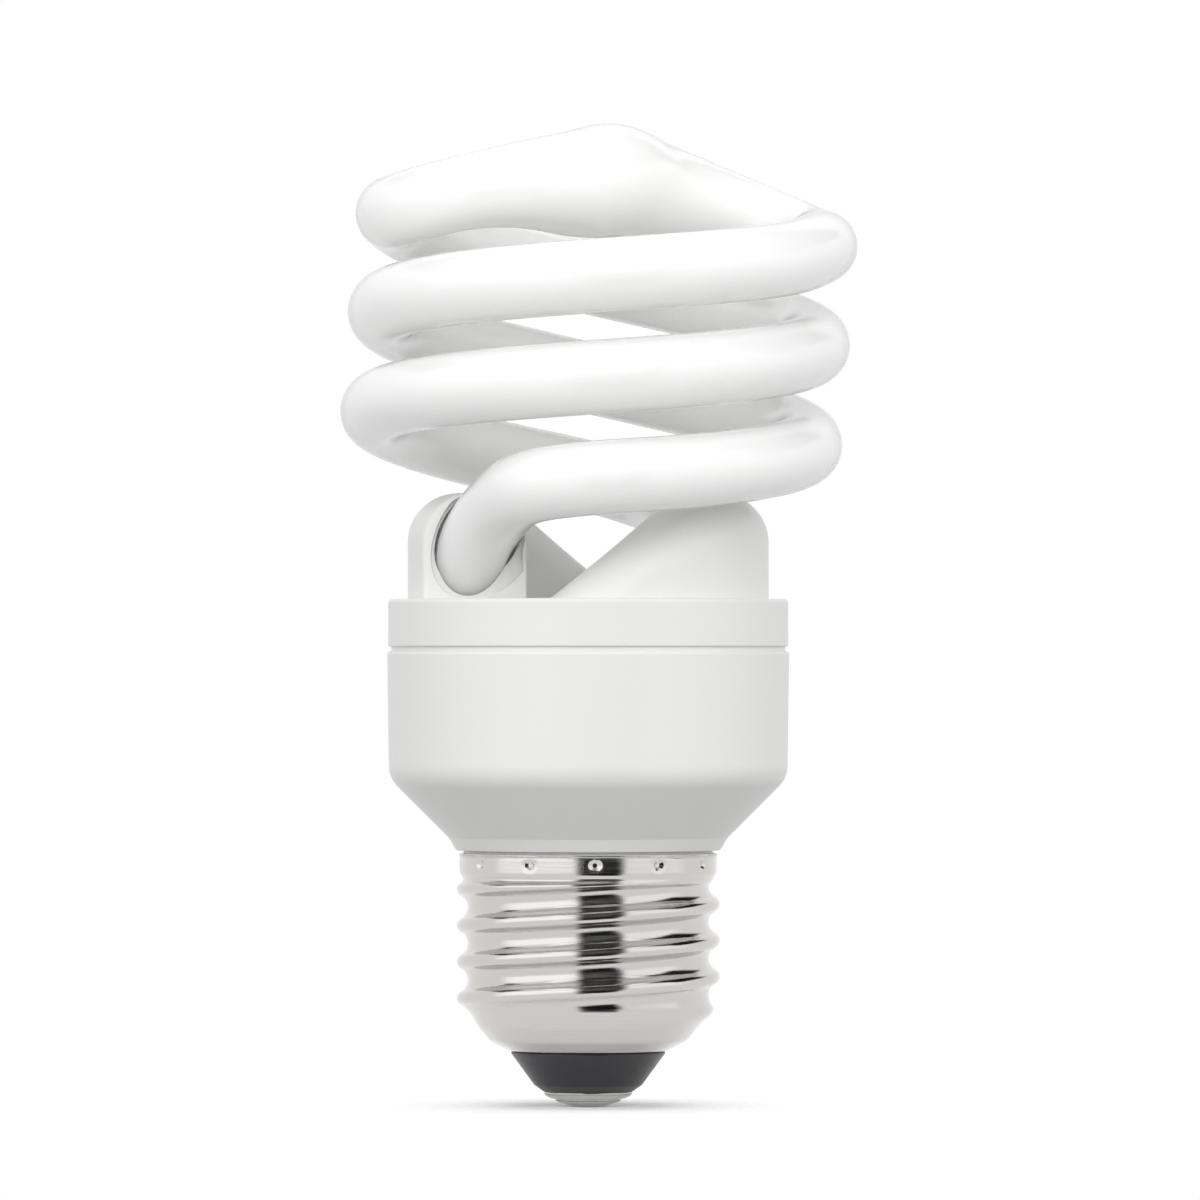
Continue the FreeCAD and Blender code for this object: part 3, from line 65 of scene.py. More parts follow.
def length(name, description, millimetres):
    """A length setting, given in millimetres."""
    return FloatProperty(name=name, description=description, default=millimetres * MM,
                         subtype="DISTANCE", unit="LENGTH", precision=5)


def degrees(name, description, default):
    """An angle setting, given in degrees."""
    return FloatProperty(name=name, description=description, default=math.radians(default),
                         subtype="ANGLE", unit="ROTATION")


def number(name, description, default, least=0, most=100):
    """A plain number within limits."""
    return FloatProperty(name=name, description=description, default=default, min=least, max=most)


def linear(code):
    """The linear red, green, blue and full alpha of an sRGB hex colour."""
    parts = [part / 255 for part in bytes.fromhex(code[1:])]
    return (*(part / 12.92 if part <= 0.04045 else ((part + 0.055) / 1.055) ** 2.4
              for part in parts), 1.0)


def colour(name, description, code):
    """A colour setting from an sRGB hex value."""
    return FloatVectorProperty(name=name, description=description, default=linear(code),
                               size=4, subtype="COLOR", min=0, max=1)


class TubeSettings(bpy.types.PropertyGroup):
    """Sizes and colours of the discharge tube."""

    tube_radius: length("Tube radius", "Outer radius of the glass tube", 3.65)
    belly: length("Belly", "Swelling of the tube's radius in the middle of the crossing", 2.1)
    belly_reach: length("Belly reach", "How far from the crossing's middle the belly ends", 21.5)
    coil_radius: length("Coil radius", "Radius of the coil's middle line", 21.53)
    coil_rise: length("Rise per turn", "How far one arm climbs in a full turn", 20.0)
    middle_height: length("Middle height", "Height of the coil's middle turn", 67.8)
    sideways: length("Offset", "How far the coil stands to the right of the axis", 0.3)
    lean: degrees("Lean", "Lean of the coil to the right", 4.4)
    nod: degrees("Nod", "Nod of the coil to the front", 1.3)
    arm_start: degrees("Arm start", "Angle at which an arm leaves its neck", 264.7)
    arm_end: degrees("Arm end", "Angle at which an arm turns in to the crossing", 716.8)
    crossing_rise: length("Crossing rise", "How far the crossing climbs from an arm's end", 7.05)
    crossing_peak: number("Crossing peak", "How pointed the crossing's ridge is", 0.8, most=1)
    crossing_pull: number("Crossing pull", "Width of the crossing's bends", 1.82, 0.8, 2)
    crossing_slant: degrees("Crossing slant", "Angle between the crossing's middle and its ends", 62.0)
    mouth_height: length("Mouth height", "Height at which the tube leaves its hood", 56.9)
    mouth_side: length("Mouth side", "How far right of its hood's middle line the tube leaves it", 0.3)
    mouth_turn: degrees("Mouth turn", "Turn of the tube to the right where it leaves its hood", 30.0)
    mouth_rise: degrees("Mouth rise", "Rise of the tube where it leaves its hood", 36.0)
    foot_height: length("Foot height", "Height of the tube's sealed end", 49.6)
    foot_angle: degrees("Foot angle", "Angle of the tube's sealed end about the axis", 183.0)
    foot_turn: degrees("Foot turn", "Turn of the tube to the right at its sealed end", 31.0)
    foot_rise: degrees("Foot rise", "Rise of the tube at its sealed end", 36.0)
    phosphor: colour("Phosphor", "White powder behind the glass", "#F6F6F5")
    # Painted shade: the grey mixed in along the tube's outlines, where the clear wall is seen on edge.
    painted_edge_shade: colour("Glass edge", "Tone of the glass seen through its edge", "#A9ADAE")


class CasingSettings(bpy.types.PropertyGroup):
    """Sizes and colours of the two mouldings of the casing."""

    holder_radius: length("Holder radius", "Radius of the upper moulding", 20.0)
    holder_top: length("Holder top", "Height of the upper moulding's plate", 50.7)
    seam_height: length("Seam height", "Height of the groove between the mouldings", 45.7)
    seam_radius: length("Seam radius", "Radius at the bottom of the groove", 19.7)
    seam_gap: length("Seam gap", "Width of the groove", 0.45)
    housing_top: length("Housing radius", "Radius of the lower moulding at its top", 20.1)
    housing_low: length("Shoulder radius", "Radius of the lower moulding at its shoulder", 19.93)
    shoulder_height: length("Shoulder height", "Height of the shoulder's corner", 32.83)
    shoulder_round: length("Shoulder round", "Radius of the shoulder", 3.0)
    lip_radius: length("Lip radius", "Radius of the lip above the cap", 13.95)
    lip_height: length("Lip height", "Height of the lip's foot", 25.6)
    edge_round: length("Edge round", "Radius of the mouldings' outer edges", 0.3)
    hood_ring: length("Hood ring", "Radius of the hoods' middle line", 13.1)
    hood_half_width: length("Hood half width", "Half of a hood's width", 4.95)
    hood_top: length("Hood top", "Height of the hoods' ridges", 61.25)
    hood_foot: degrees("Hood foot", "Angle at which a hood's ramp rises from the plate", 74.0)
    hood_ramp_end: degrees("Ramp end", "Angle at which the ramp reaches its ridge", 149.0)
    hood_straight: degrees("Straight start", "Angle at which a hood runs straight to its mouth", 198.0)
    mouth_offset: length("Mouth offset", "Distance of a hood's mouth in front of the axis", 8.0)
    mouth_gap: length("Mouth gap", "Gap between a hood and the tube that leaves it", 0.22)
    mouth_round: length("Mouth round", "Radius of the edge round a mouth", 0.6)
    recess_width: length("Recess width", "How much wider than the bore the recess beside it is", 1.0)
    recess_depth: length("Recess depth", "Depth of the recess in a mouth's face", 0.8)
    plastic: colour("Plastic", "White polyester of both mouldings", "#E9E9E8")


class CapSettings(bpy.types.PropertyGroup):
    """Sizes and colours of the screw cap."""

    pitch: length("Pitch", "Rise of the thread in one turn", 3.629)
    crest_radius: length("Crest radius", "Radius over the thread's crests", 13.15)
    root_radius: length("Root radius", "Radius in the thread's roots", 12.05)
    crest_share: number("Crest share", "Share of the thread that is crest, not root", 0.36, 0.2, 0.8)
    first_crest: length("First crest", "Height of the lowest crest on the right", 9.17)
    askew: length("Askew", "How much higher the thread sits on the right", 0.18)
    collar_radius: length("Collar radius", "Radius of the plain collar", 12.85)
    wall: length("Sheet", "Thickness of the rolled sheet", 0.3)
    punch_height: length("Punch height", "Height of the ring of punch marks", 24.3)
    punch_radius: length("Punch radius", "Radius of one punch mark", 0.58)
    punches: IntProperty(name="Punches", description="Number of punch marks", default=12, min=0, max=36)
    punch_turn: degrees("Punch turn", "Turn of the punch marks from the front", 3.0)
    nickel: colour("Nickel", "Bright nickel of the shell and contact", "#CBC9C6")
    pressed_glass: colour("Pressed glass", "Dark glass between shell and contact", "#2B2B2F")
    tin: colour("Tin", "Solder on the contact", "#C9C9C8")


class StageSettings(bpy.types.PropertyGroup):
    """The floor, the lights and the camera."""

    camera_distance: length("Camera distance", "Distance of the camera in front of the axis", 1000.0)
    camera_height: length("Camera height", "Height of the camera", 45.0)
    aim_right: length("Aim right", "Distance of the picture's middle to the right of the axis", 1.18)
    aim_height: length("Aim height", "Height of the picture's middle", 50.6)
    view_width: length("View width", "Width of the picture at the axis", 120.0)
    backdrop: colour("Backdrop", "White of the studio", "#FFFFFF")
    floor_tone: number("Floor tone", "How much light the floor throws back", 0.38, most=1)
    floor_shade: number("Floor shade", "How dark the shade on the floor gets", 0.88, most=1)
    fill: number("Fill", "Strength of the light from all round", 0.64)
    top_power: number("Top lamp", "Power of the lamp overhead in watts", 2.0)
    front_power: number("Front lamp", "Power of the lamp over the camera in watts", 4.9)
    left_glow: number("Left softbox", "Strength of the left softbox", 1.5)
    right_glow: number("Right softbox", "Strength of the right softbox", 1.25)


def add_node(tree, kind, inputs=None, **settings):
    """Add a shader node, set its own settings, and fill its inputs.

    An input takes a value, another node's output, or another node, whose first output it takes.
    """
    node = tree.nodes.new("ShaderNode" + kind)
    for name, value in settings.items():
        setattr(node, name, value)
    for name, value in (inputs or {}).items():
        source = value.outputs[0] if isinstance(value, bpy.types.Node) else value
        if isinstance(source, bpy.types.NodeSocket):
            tree.links.new(source, node.inputs[name])
        else:
            node.inputs[name].default_value = source
    return node


def new_material(name):
    """An empty material and its node tree."""
    material = bpy.data.materials.new(name)
    material.use_nodes = True
    material.node_tree.nodes.clear()
    return material, material.node_tree


def fine_grain(tree, size, strength, low=0.0, high=1.0, stretch=(1, 1, 1)):
    """Noise whose grains are about the given size, as a value from low to high and as a bump."""
    place = add_node(tree, "TexCoord")
    turn = add_node(tree, "Mapping", {"Vector": place.outputs["Object"], "Scale": stretch})
    noise = add_node(tree, "TexNoise", {
        "Vector": turn, "Scale": 1 / size, "Detail": 3.0, "Roughness": 0.6})
    value = add_node(tree, "MapRange", {
        "Value": noise, "From Min": 0.3, "From Max": 0.7, "To Min": low, "To Max": high})
    bump = add_node(tree, "Bump", {
        "Height": noise, "Strength": strength, "Distance": size * 0.25})
    return value, bump


def phosphor_glass(tube):
    """Drawn soda-lime tube, clear and polished, over a coat of white phosphor powder inside."""
    # The powder scatters evenly, so the tube looks like milk glass under a sharp clear gloss, and
    #     # a thin grey line of painted shade runs along each outline, where the wall is seen on edge.
    material, tree = new_material("phosphor_coated_glass")
    tone, bump = fine_grain(tree, 0.35 * MM, 0.03, 0.985, 1.0)
    coat = add_node(tree, "Mix", {
        0: 1.0, MIX_A: tube.phosphor, MIX_B: tone}, data_type="RGBA", blend_type="MULTIPLY")
    milk = add_node(tree, "BsdfPrincipled", {
        "Base Color": coat.outputs[MIX_RESULT], "Roughness": 0.55, "IOR": 1.5, "Specular IOR Level": 0.2,
        "Subsurface Weight": 1.0, "Subsurface Scale": 7 * MM, "Subsurface Radius": (1.0, 1.0, 1.0),
        "Coat Weight": 1.0, "Coat Roughness": 0.12, "Coat IOR": 1.52, "Normal": bump})
    # Painted shade along the outlines: a grey gloss mixed in where the surface turns away from the view.
    wall = add_node(tree, "BsdfPrincipled", {
        "Base Color": tube.painted_edge_shade, "Roughness": 0.08, "IOR": 1.52})
    facing = add_node(tree, "LayerWeight", {"Blend": 0.5})
    edge = add_node(tree, "MapRange", {
        "Value": facing.outputs["Facing"], "From Min": 0.72, "From Max": 1.0, "To Max": 0.9,
    }, interpolation_type="SMOOTHSTEP")
    both = add_node(tree, "MixShader", {0: edge, 1: milk, 2: wall})
    add_node(tree, "OutputMaterial", {"Surface": both})
    return material


def moulded_plastic(casing):
    """White glass-filled polyester (PBT), injection moulded in a lightly spark-eroded tool."""
    # A satin gloss with a very fine grain, 0.2 mm, drawn a little coarser than it is so that it
    # shows. The gloss wavers in small patches, a ninetieth of the piece's width each.
    material, tree = new_material("moulded_white_pbt")
    tone, bump = fine_grain(tree, 0.2 * MM, 0.05, 0.985, 1.0)
    cloud = add_node(tree, "TexNoise", {"Scale": 90.0, "Detail": 2.0})
    gloss = add_node(tree, "MapRange", {
        "Value": cloud, "From Min": 0.3, "From Max": 0.7, "To Min": 0.3, "To Max": 0.38})
    body = add_node(tree, "Mix", {
        0: 1.0, MIX_A: casing.plastic, MIX_B: tone}, data_type="RGBA", blend_type="MULTIPLY")
    shader = add_node(tree, "BsdfPrincipled", {
        "Base Color": body.outputs[MIX_RESULT], "Roughness": gloss, "IOR": 1.56, "Normal": bump})
    add_node(tree, "OutputMaterial", {"Surface": shader})
    return material


def tinned_above(tree, body, height):
    """The body's shader below a height and bright tinned wire above it, where the leads come out."""
    place = add_node(tree, "TexCoord")
    split = add_node(tree, "SeparateXYZ", {"Vector": place.outputs["Object"]})
    above = add_node(tree, "Math", {
        0: split.outputs["Z"], 1: height}, operation="GREATER_THAN")
    tin = add_node(tree, "BsdfPrincipled", {
        "Base Color": linear("#BDBDBB"), "Metallic": 1.0, "Roughness": 0.28})
    return add_node(tree, "MixShader", {0: above, 1: body, 2: tin})


def plain_finish(name, colour, roughness, grain, strength, metallic=0.0, spread=None,
                 stretch=(1, 1, 1), leads_from=None):
    """A finish of one colour under an even grain, over which the roughness goes up and down by the spread.

    The spread is 15 % where none is given, and the leads come out above the height leads_from.
    """
    material, tree = new_material(name)
    spread = roughness * 0.15 if spread is None else spread
    gloss, bump = fine_grain(tree, grain, strength, roughness - spread, roughness + spread, stretch)
    body = add_node(tree, "BsdfPrincipled", {
        "Base Color": colour, "Metallic": metallic, "Roughness": gloss, "Normal": bump})
    shader = tinned_above(tree, body, leads_from) if leads_from else body
    add_node(tree, "OutputMaterial", {"Surface": shader})
    return material


def rolled_nickel(cap):
    """Brass sheet, drawn and thread-rolled, with bright nickel plate."""
    # A mirror with faint lines along the thread from the rollers, about 0.2 mm apart.
    return plain_finish("bright_nickel_plate", cap.nickel, 0.13, 0.2 * MM, 0.25, metallic=1.0,
                        spread=0.04, stretch=(0.03, 0.03, 1.0))


def dark_pressed_glass(cap):
    """Black glass pressed hot into the cap, with a smooth fired skin."""
    # Deep charcoal with a soft gloss and a slight unevenness from the press.
    return plain_finish("dark_pressed_glass", cap.pressed_glass, 0.36, 0.8 * MM, 0.06, spread=0.06)


def flowed_solder(cap):
    """Tin solder that flowed and set in a dome."""
    # A bright skin that is a little frosted where the tin set last, in patches of half a millimetre.
    return plain_finish("flowed_tin_solder", cap.tin, 0.23, 0.5 * MM, 0.1, metallic=1.0, spread=0.07)


def grid_mesh(name, points, sharp):
    """A mesh over a grid of points, whose quads join neighbours along and round.

    Edges that bend by more than the angle sharp, in degrees, are shaded as corners.
    """
    rows, columns = points.shape[:2]
    row = np.arange(rows - 1)[:, None]
    column = np.arange(columns)
    following, beside = row + 1, (column + 1) % columns
    quads = np.stack([
        row * columns + column,
        row * columns + beside,
        following * columns + beside,
        following * columns + column,
    ], axis=-1).reshape(-1, 4)
    mesh = bpy.data.meshes.new(name)
    mesh.from_pydata(points.reshape(-1, 3), [], quads)
    mesh.update(calc_edges=True)
    # Poles and places where two rows fall together become one point, and the faces turn outwards.
    surface = bmesh.new()
    surface.from_mesh(mesh)
    bmesh.ops.remove_doubles(surface, verts=surface.verts, dist=2e-7)
    bmesh.ops.dissolve_degenerate(surface, edges=surface.edges, dist=1e-7)
    bmesh.ops.recalc_face_normals(surface, faces=surface.faces)
    surface.to_mesh(mesh)
    surface.free()
    mesh.shade_smooth()
    mesh.set_sharp_from_angle(angle=math.radians(sharp))
    return mesh


def add_piece(name, points, sharp, material, slot, *nodes):
    """Show a grid of points as a piece of the lamp in place of its CAD nodes."""
    mesh = grid_mesh(name, points, sharp)
    mesh.materials.append(material)
    piece = bpy.data.objects.new(name, mesh)
    bpy.context.scene.collection.objects.link(piece)
    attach(piece, "root")
    if nodes:
        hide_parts(*nodes)


def unit(vectors):
    """Vectors of length one."""
    return vectors / np.linalg.norm(vectors, axis=-1, keepdims=True)


def ease(share):
    """The step s^2 (3 - 2 s), which is level at 0 and at 1."""
    return share ** 2 * (3 - 2 * share)


def smooth(value, low, high):
    """A step that eases from 0 at low to 1 at high."""
    return ease(np.clip((value - low) / (high - low), 0, 1))


def rounded(corners, steps=7, support=0.12 * MM):
    """A profile through corners of (radius, height, round), each an arc tangent to both sides.

    The arc swings from one tangent point to the other about its centre, and one point on each
    side just past it keeps the flat next to it flat.
    """
    corners = np.array(corners, float)
    place, radius = corners[:, :2], corners[1:-1, 2:3]
    before = unit(place[:-2] - place[1:-1])
    after = unit(place[2:] - place[1:-1])
    half = 0.5 * np.arccos(np.clip((before * after).sum(1, keepdims=True), -1, 1))
    reach = radius / np.tan(half)
    centre = place[1:-1] + unit(before + after) * radius / np.sin(half)
    start = place[1:-1] + before * reach - centre
    end = place[1:-1] + after * reach - centre
    sweep = (np.pi - 2 * half)[:, None]
    share = np.linspace(0, 1, steps)[None, :, None]
    swing = np.sin((1 - share) * sweep) * start[:, None] + np.sin(share * sweep) * end[:, None]
    arcs = centre[:, None] + swing / np.sin(sweep)
    lead_in = arcs[:, :1] + (before * support * (radius > 0))[:, None]
    lead_out = arcs[:, -1:] + (after * support * (radius > 0))[:, None]
    inner = np.concatenate([lead_in, arcs, lead_out], axis=1).reshape(-1, 2)
    return np.concatenate([place[:1], inner, place[-1:]])


def about_axis(radius, angle, height):
    """Points about the lamp's axis: x = radius cos a, y = radius sin a, z = height."""
    return np.stack(np.broadcast_arrays(radius * np.cos(angle), radius * np.sin(angle), height), axis=-1)


def turned(profile, columns=240):
    """The profile of (radius, height) carried round the axis."""
    angle = np.linspace(0, 2 * np.pi, columns, endpoint=False)
    return about_axis(profile[:, :1], angle, profile[:, 1:])


def heading(turn, rise):
    """A unit vector towards the front, turned to the right and rising."""
    return np.array([math.sin(turn) * math.cos(rise), -math.cos(turn) * math.cos(rise), math.sin(rise)])


def lean(points, tube):
    """The coil's own lean and nod, and its place above the holder."""
    nod, side = tube.nod, tube.lean
    about_x = np.array([
        [1, 0, 0], [0, math.cos(nod), -math.sin(nod)], [0, math.sin(nod), math.cos(nod)]])
    about_y = np.array([
        [math.cos(side), 0, math.sin(side)], [0, 1, 0], [-math.sin(side), 0, math.cos(side)]])
    return points @ (about_x @ about_y).T + [tube.sideways, 0, tube.middle_height]


def helix(angle, tube):
    """A helix: x = R cos a, y = R sin a, z = rise (a / full turn - 1)."""
    return about_axis(tube.coil_radius, angle, tube.coil_rise * (angle / (2 * np.pi) - 1))


def arm_points(tube):
    """One arm: the helix, then a cubic curve in to the axis, which it meets at a slant.

    With s from 0 to 1, t = s^2 (3 - 2 s) and a pull p, the curve in the arm's own frame is
    x = R (1 - t) + p cos(slant) s^2 (1 - s), y = p s (1 - s)^2 + p sin(slant) s^2 (1 - s), and it
    climbs by rise (t - peak s^2 (1 - s)).
    """
    coil = helix(np.linspace(tube.arm_start, tube.arm_end, 17), tube)
    share = np.linspace(0, 1, 9)[1:]
    pull = tube.crossing_pull * tube.coil_radius
    turn = ease(share)
    arrive = share ** 2 * (1 - share)
    across = tube.coil_radius * (1 - turn) + math.cos(tube.crossing_slant) * pull * arrive
    along = pull * share * (1 - share) ** 2 + math.sin(tube.crossing_slant) * pull * arrive
    height = coil[-1, 2] + tube.crossing_rise * (turn - tube.crossing_peak * arrive)
    cos, sin = math.cos(tube.arm_end), math.sin(tube.arm_end)
    crossing = np.stack([across * cos - along * sin, across * sin + along * cos, height], axis=-1)
    return np.concatenate([coil, crossing])


def cubic(start, start_way, end, end_way, pull, share):
    """Places on cubic curves from start to end, at which their slopes are the ways times the pull."""
    bends = start_way * share * (1 - share) ** 2 + end_way * share ** 2 * (share - 1)
    return start * (1 - ease(share)) + end * ease(share) + bends * pull


def even_spline(places, first_way, last_way, count):
    """Points at even steps on the cubic spline through the places, and how far along it they are.

    With h the steps between the places and d the mean slopes, the slopes m at the places solve
    h1 m0 + 2 (h0 + h1) m1 + h0 m2 = 3 (h1 d0 + h0 d1), which makes the bending even.
    """
    step = np.linalg.norm(np.diff(places, axis=0), axis=1)
    slope = np.diff(places, axis=0) / step[:, None]
    total = len(places)
    inner = np.arange(1, total - 1)
    system, target = np.eye(total), np.zeros((total, 3))
    system[inner, inner - 1] = step[1:]
    system[inner, inner] = 2 * (step[:-1] + step[1:])
    system[inner, inner + 1] = step[:-1]
    target[1:-1] = 3 * (step[1:, None] * slope[:-1] + step[:-1, None] * slope[1:])
    target[0], target[-1] = first_way, last_way
    ways = np.linalg.solve(system, target)
    reach = np.concatenate([[0], np.cumsum(step)])
    at = np.linspace(0, reach[-1], count)
    piece = np.clip(np.searchsorted(reach, at, side="right") - 1, 0, total - 2)
    share = ((at - reach[piece]) / step[piece])[:, None]
    points = cubic(places[piece], ways[piece], places[piece + 1], ways[piece + 1],
                   step[piece][:, None], share)
    return points, at


def mouth_centre(tube, casing):
    """Where the tube's middle line meets the plane of its hood's mouth."""
    angle = casing.hood_straight
    leave = about_axis(casing.hood_ring, angle, 0)
    beside = leave[0] + math.tan(angle) * (casing.mouth_offset + leave[1])
    return np.array([beside + tube.mouth_side, -casing.mouth_offset, tube.mouth_height])


def tube_line(tube, casing, count):
    """The tube's middle line: a neck, an arm, the crossing, and the other half, a half turn of it."""
    foot = about_axis(casing.hood_ring, tube.foot_angle, tube.foot_height)
    mouth = mouth_centre(tube, casing)
    start = lean(helix(np.array([tube.arm_start, tube.arm_start + 0.01]), tube), tube)
    stations = [
        (foot, heading(tube.foot_turn, tube.foot_rise)),
        (mouth, heading(tube.mouth_turn, tube.mouth_rise)),
        (start[0], unit(start[1] - start[0])),
    ]
    neck = [
        cubic(*first, *last, np.linalg.norm(last[0] - first[0]), np.arange(steps)[:, None] / steps)
        for first, last, steps in zip(stations, stations[1:], (3, 4))
    ]
    arm = arm_points(tube)
    half_turn = np.array([-1, -1, 1])
    half = np.concatenate([*neck, lean(arm, tube)])
    other = np.concatenate([*(part * half_turn for part in neck), lean(arm * half_turn, tube)])
    foot_way = stations[0][1]
    return even_spline(np.concatenate([half, other[-2::-1]]), foot_way, foot_way * -half_turn, count)


def tube_grid(tube, casing, rings=760, columns=56):
    """Rings of points round the middle line, each square to it, that close to a point at both ends.

    With t along the line, s level across it and n square to both, a point is
    centre + radius (s cos a + n sin a). At a distance d from the crossing's middle the radius
    grows by belly (1 - (d / reach)^2)^3, and the line sinks by as much.
    """
    line, at = tube_line(tube, casing, rings)
    off_middle = np.linalg.norm(line - lean(arm_points(tube)[-1], tube), axis=1) / tube.belly_reach
    swell = tube.belly * np.clip(1 - off_middle ** 2, 0, 1) ** 3
    line = line - swell[:, None] * [0, 0, 1]
    along = unit(np.gradient(line, axis=0))
    side = unit(np.cross(along, [0, 0, 1]))
    over = np.cross(side, along)
    end_round = 1.6 * MM
    ends = np.minimum(at, at[-1] - at) / end_round
    closing = np.sqrt(np.clip(1 - (1 - np.clip(ends, 0, 1)) ** 2, 0, 1))
    radius = ((tube.tube_radius + swell) * closing)[:, None, None]
    angle = np.linspace(0, 2 * np.pi, columns, endpoint=False)[None, :, None]
    return line[:, None] + radius * (side[:, None] * np.cos(angle) + over[:, None] * np.sin(angle))


class BULB_OT_discharge_tube(bpy.types.Operator):
    """Build the double spiral of phosphor-coated glass"""

    bl_idname = "bulb.discharge_tube"
    bl_label = "Discharge tube"

    def execute(self, context):
        scene = context.scene
        points = tube_grid(scene.bulb_tube, scene.bulb_casing)
        glass = phosphor_glass(scene.bulb_tube)
        add_piece("spiral_tube", points, 80, glass, "phosphor_glass", "discharge_tube")
        return {"FINISHED"}


def plate_profile(casing):
    """Half a section of the upper moulding: plate, rim and the skirt that stands in the housing."""
    foot = casing.seam_height + casing.seam_gap / 2
    skirt_foot = foot - 1.2 * MM
    underside = casing.holder_top - 1.3 * MM
    skirt_inner = casing.holder_radius - 2.87 * MM
    skirt_outer = casing.holder_radius - 1.62 * MM
    return rounded([
        (0, casing.holder_top, 0),
        (casing.holder_radius, casing.holder_top, 0.4 * MM),
        (casing.holder_radius, foot, casing.edge_round * 0.6),
        (skirt_outer, foot, 0),
        (skirt_outer, skirt_foot, 0.2 * MM),
        (skirt_inner, skirt_foot, 0.2 * MM),
        (skirt_inner, underside, 0.3 * MM),
        (0, underside, 0),
    ])


def hood_place(run, casing):
    """Where a hood's middle line is after a run, and which way it goes: a circle, then straight."""
    ring = casing.hood_ring
    turn = (casing.hood_straight - casing.hood_foot) * ring
    angle = casing.hood_foot + np.minimum(run, turn) / ring
    extra = np.maximum(run - turn, 0)
    along = np.stack([-np.sin(angle), np.cos(angle)], axis=-1)
    middle = ring * np.stack([np.cos(angle), np.sin(angle)], axis=-1) + along * extra[..., None]
    return middle, along


def hood_surface(run, loop, casing):
    """Points of the hood's skin: an arch stands across the middle line, upright sides under half a circle.

    The crown climbs from the plate by (4 s - s^4) / 3 of the ridge's height. The loop value
    goes 0 to 1 up the inner side, 1 to 2 over the arch, 2 to 3 down the outer side and
    3 to 4 back under the plate.
    """
    middle, along = hood_place(run, casing)
    ramp = (casing.hood_ramp_end - casing.hood_foot) * casing.hood_ring
    share = np.clip(run / ramp, 0, 1)
    crown = casing.holder_top + (casing.hood_top - casing.holder_top) * (4 * share - share ** 4) / 3
    half = casing.hood_half_width
    spring = crown - half
    sunk = 0.8 * MM
    base = casing.holder_top - sunk
    lift = np.arcsin(np.clip((base - spring) / half, 0, 1))
    foot = half * np.cos(lift)
    over = (np.clip(loop, 1, 2) - 1) * (np.pi - 2 * lift) + lift
    out = np.where(loop < 3, -half * np.cos(over), foot * (7 - 2 * np.clip(loop, 3, 4)))
    rise = np.clip(loop, 0, 1) - np.clip(loop - 2, 0, 1)
    straight = base + (np.maximum(spring, base) - base) * rise
    height = np.where((loop > 1) & (loop < 2), spring + half * np.sin(over), straight)
    # The plane vector across the line points away from the axis.
    return np.stack([
        middle[..., 0] + along[..., 1] * out,
        middle[..., 1] - along[..., 0] * out,
        height,
    ], axis=-1)


def bent(first, corner, last, steps):
    """A row of points from first to last that bends smoothly at a corner (a curve of second degree)."""
    share = np.linspace(0, 1, steps)[:, None, None]
    return first * (1 - share) ** 2 + corner * 2 * share * (1 - share) + last * share ** 2


def off_line(points, middle, way):
    """How far points are from the line through the middle along the way."""
    offset = points - middle
    return np.linalg.norm(offset - (offset @ way)[..., None] * way, axis=-1)


def hood_ends(loop, centre, way, casing, bore):
    """How far along its hood each column of the skin gets.

    It stops where it first meets the mouth's plane or, on the sides and the arch, the bore, a
    cylinder round the tube's direction at the mouth.
    """
    turn = (casing.hood_straight - casing.hood_foot) * casing.hood_ring
    runs = np.linspace(turn - 4 * MM, turn + 9 * MM, 900)
    trial = hood_surface(runs[:, None], loop, casing)
    room = trial[..., 1] + casing.mouth_offset
    by_bore = (loop > 0.6) & (loop < 2)
    room = np.where(by_bore, np.minimum(room, off_line(trial, centre, way) - bore), room)
    stop = np.argmax(room < 0, axis=0)
    column = np.arange(len(loop))
    late, early = room[stop, column], room[stop - 1, column]
    return runs[stop - 1] + (runs[1] - runs[0]) * early / (early - late)


def mouth_rim(corner, last, centre, way, casing, bore):
    """The mouth's round outer edge, its flat face with the recess, and the edge and wall of the bore.

    The recess is a second, wider bore, off to the right: its rim is found on the line from the
    bore to each corner.
    """
    wall_depth, brink_round, least = 2.5 * MM, 0.15 * MM, 0.05 * MM
    ratio = np.maximum(off_line(corner, centre, way) / bore, 1)[:, None]
    hole = centre + (corner - centre) / ratio + casing.mouth_gap * np.array([0.5, 0, 0.5])
    width = np.linalg.norm(hole - corner, axis=-1, keepdims=True)
    inwards = (hole - corner) / np.maximum(width, 1e-9)
    reach = np.minimum(casing.mouth_round, width * 0.5)
    edge = bent(last, corner, corner + inwards * reach, 7)[1:]
    shares = np.linspace(0, 1, 400)
    line = hole + (corner - hole) * shares[:, None, None]
    recess_centre = centre + [casing.recess_width * 0.9, 0, 0]
    outside = off_line(line, recess_centre, way) > bore + casing.recess_width
    share = np.where(outside.any(axis=0), shares[np.argmax(outside, axis=0)], 1)[:, None]
    step = np.minimum(share * width, np.clip(width - reach - least, 0, None))
    depth = casing.recess_depth * smooth(step, 0.02 * MM, 0.3 * MM) * [0, 1, 0]
    rim = hole - inwards * step
    recess = np.stack([rim - inwards * np.minimum(least, reach * 0.1), rim + depth * 0.5, rim + depth])
    hole = hole + depth
    brink = bent(hole - inwards * np.minimum(brink_round, width * 0.2), hole, hole - way * brink_round, 5)
    bore_end = (hole - way * wall_depth)[None]
    plug = np.broadcast_to(centre - way * wall_depth, bore_end.shape)
    return np.concatenate([edge, recess, brink, bore_end, plug])


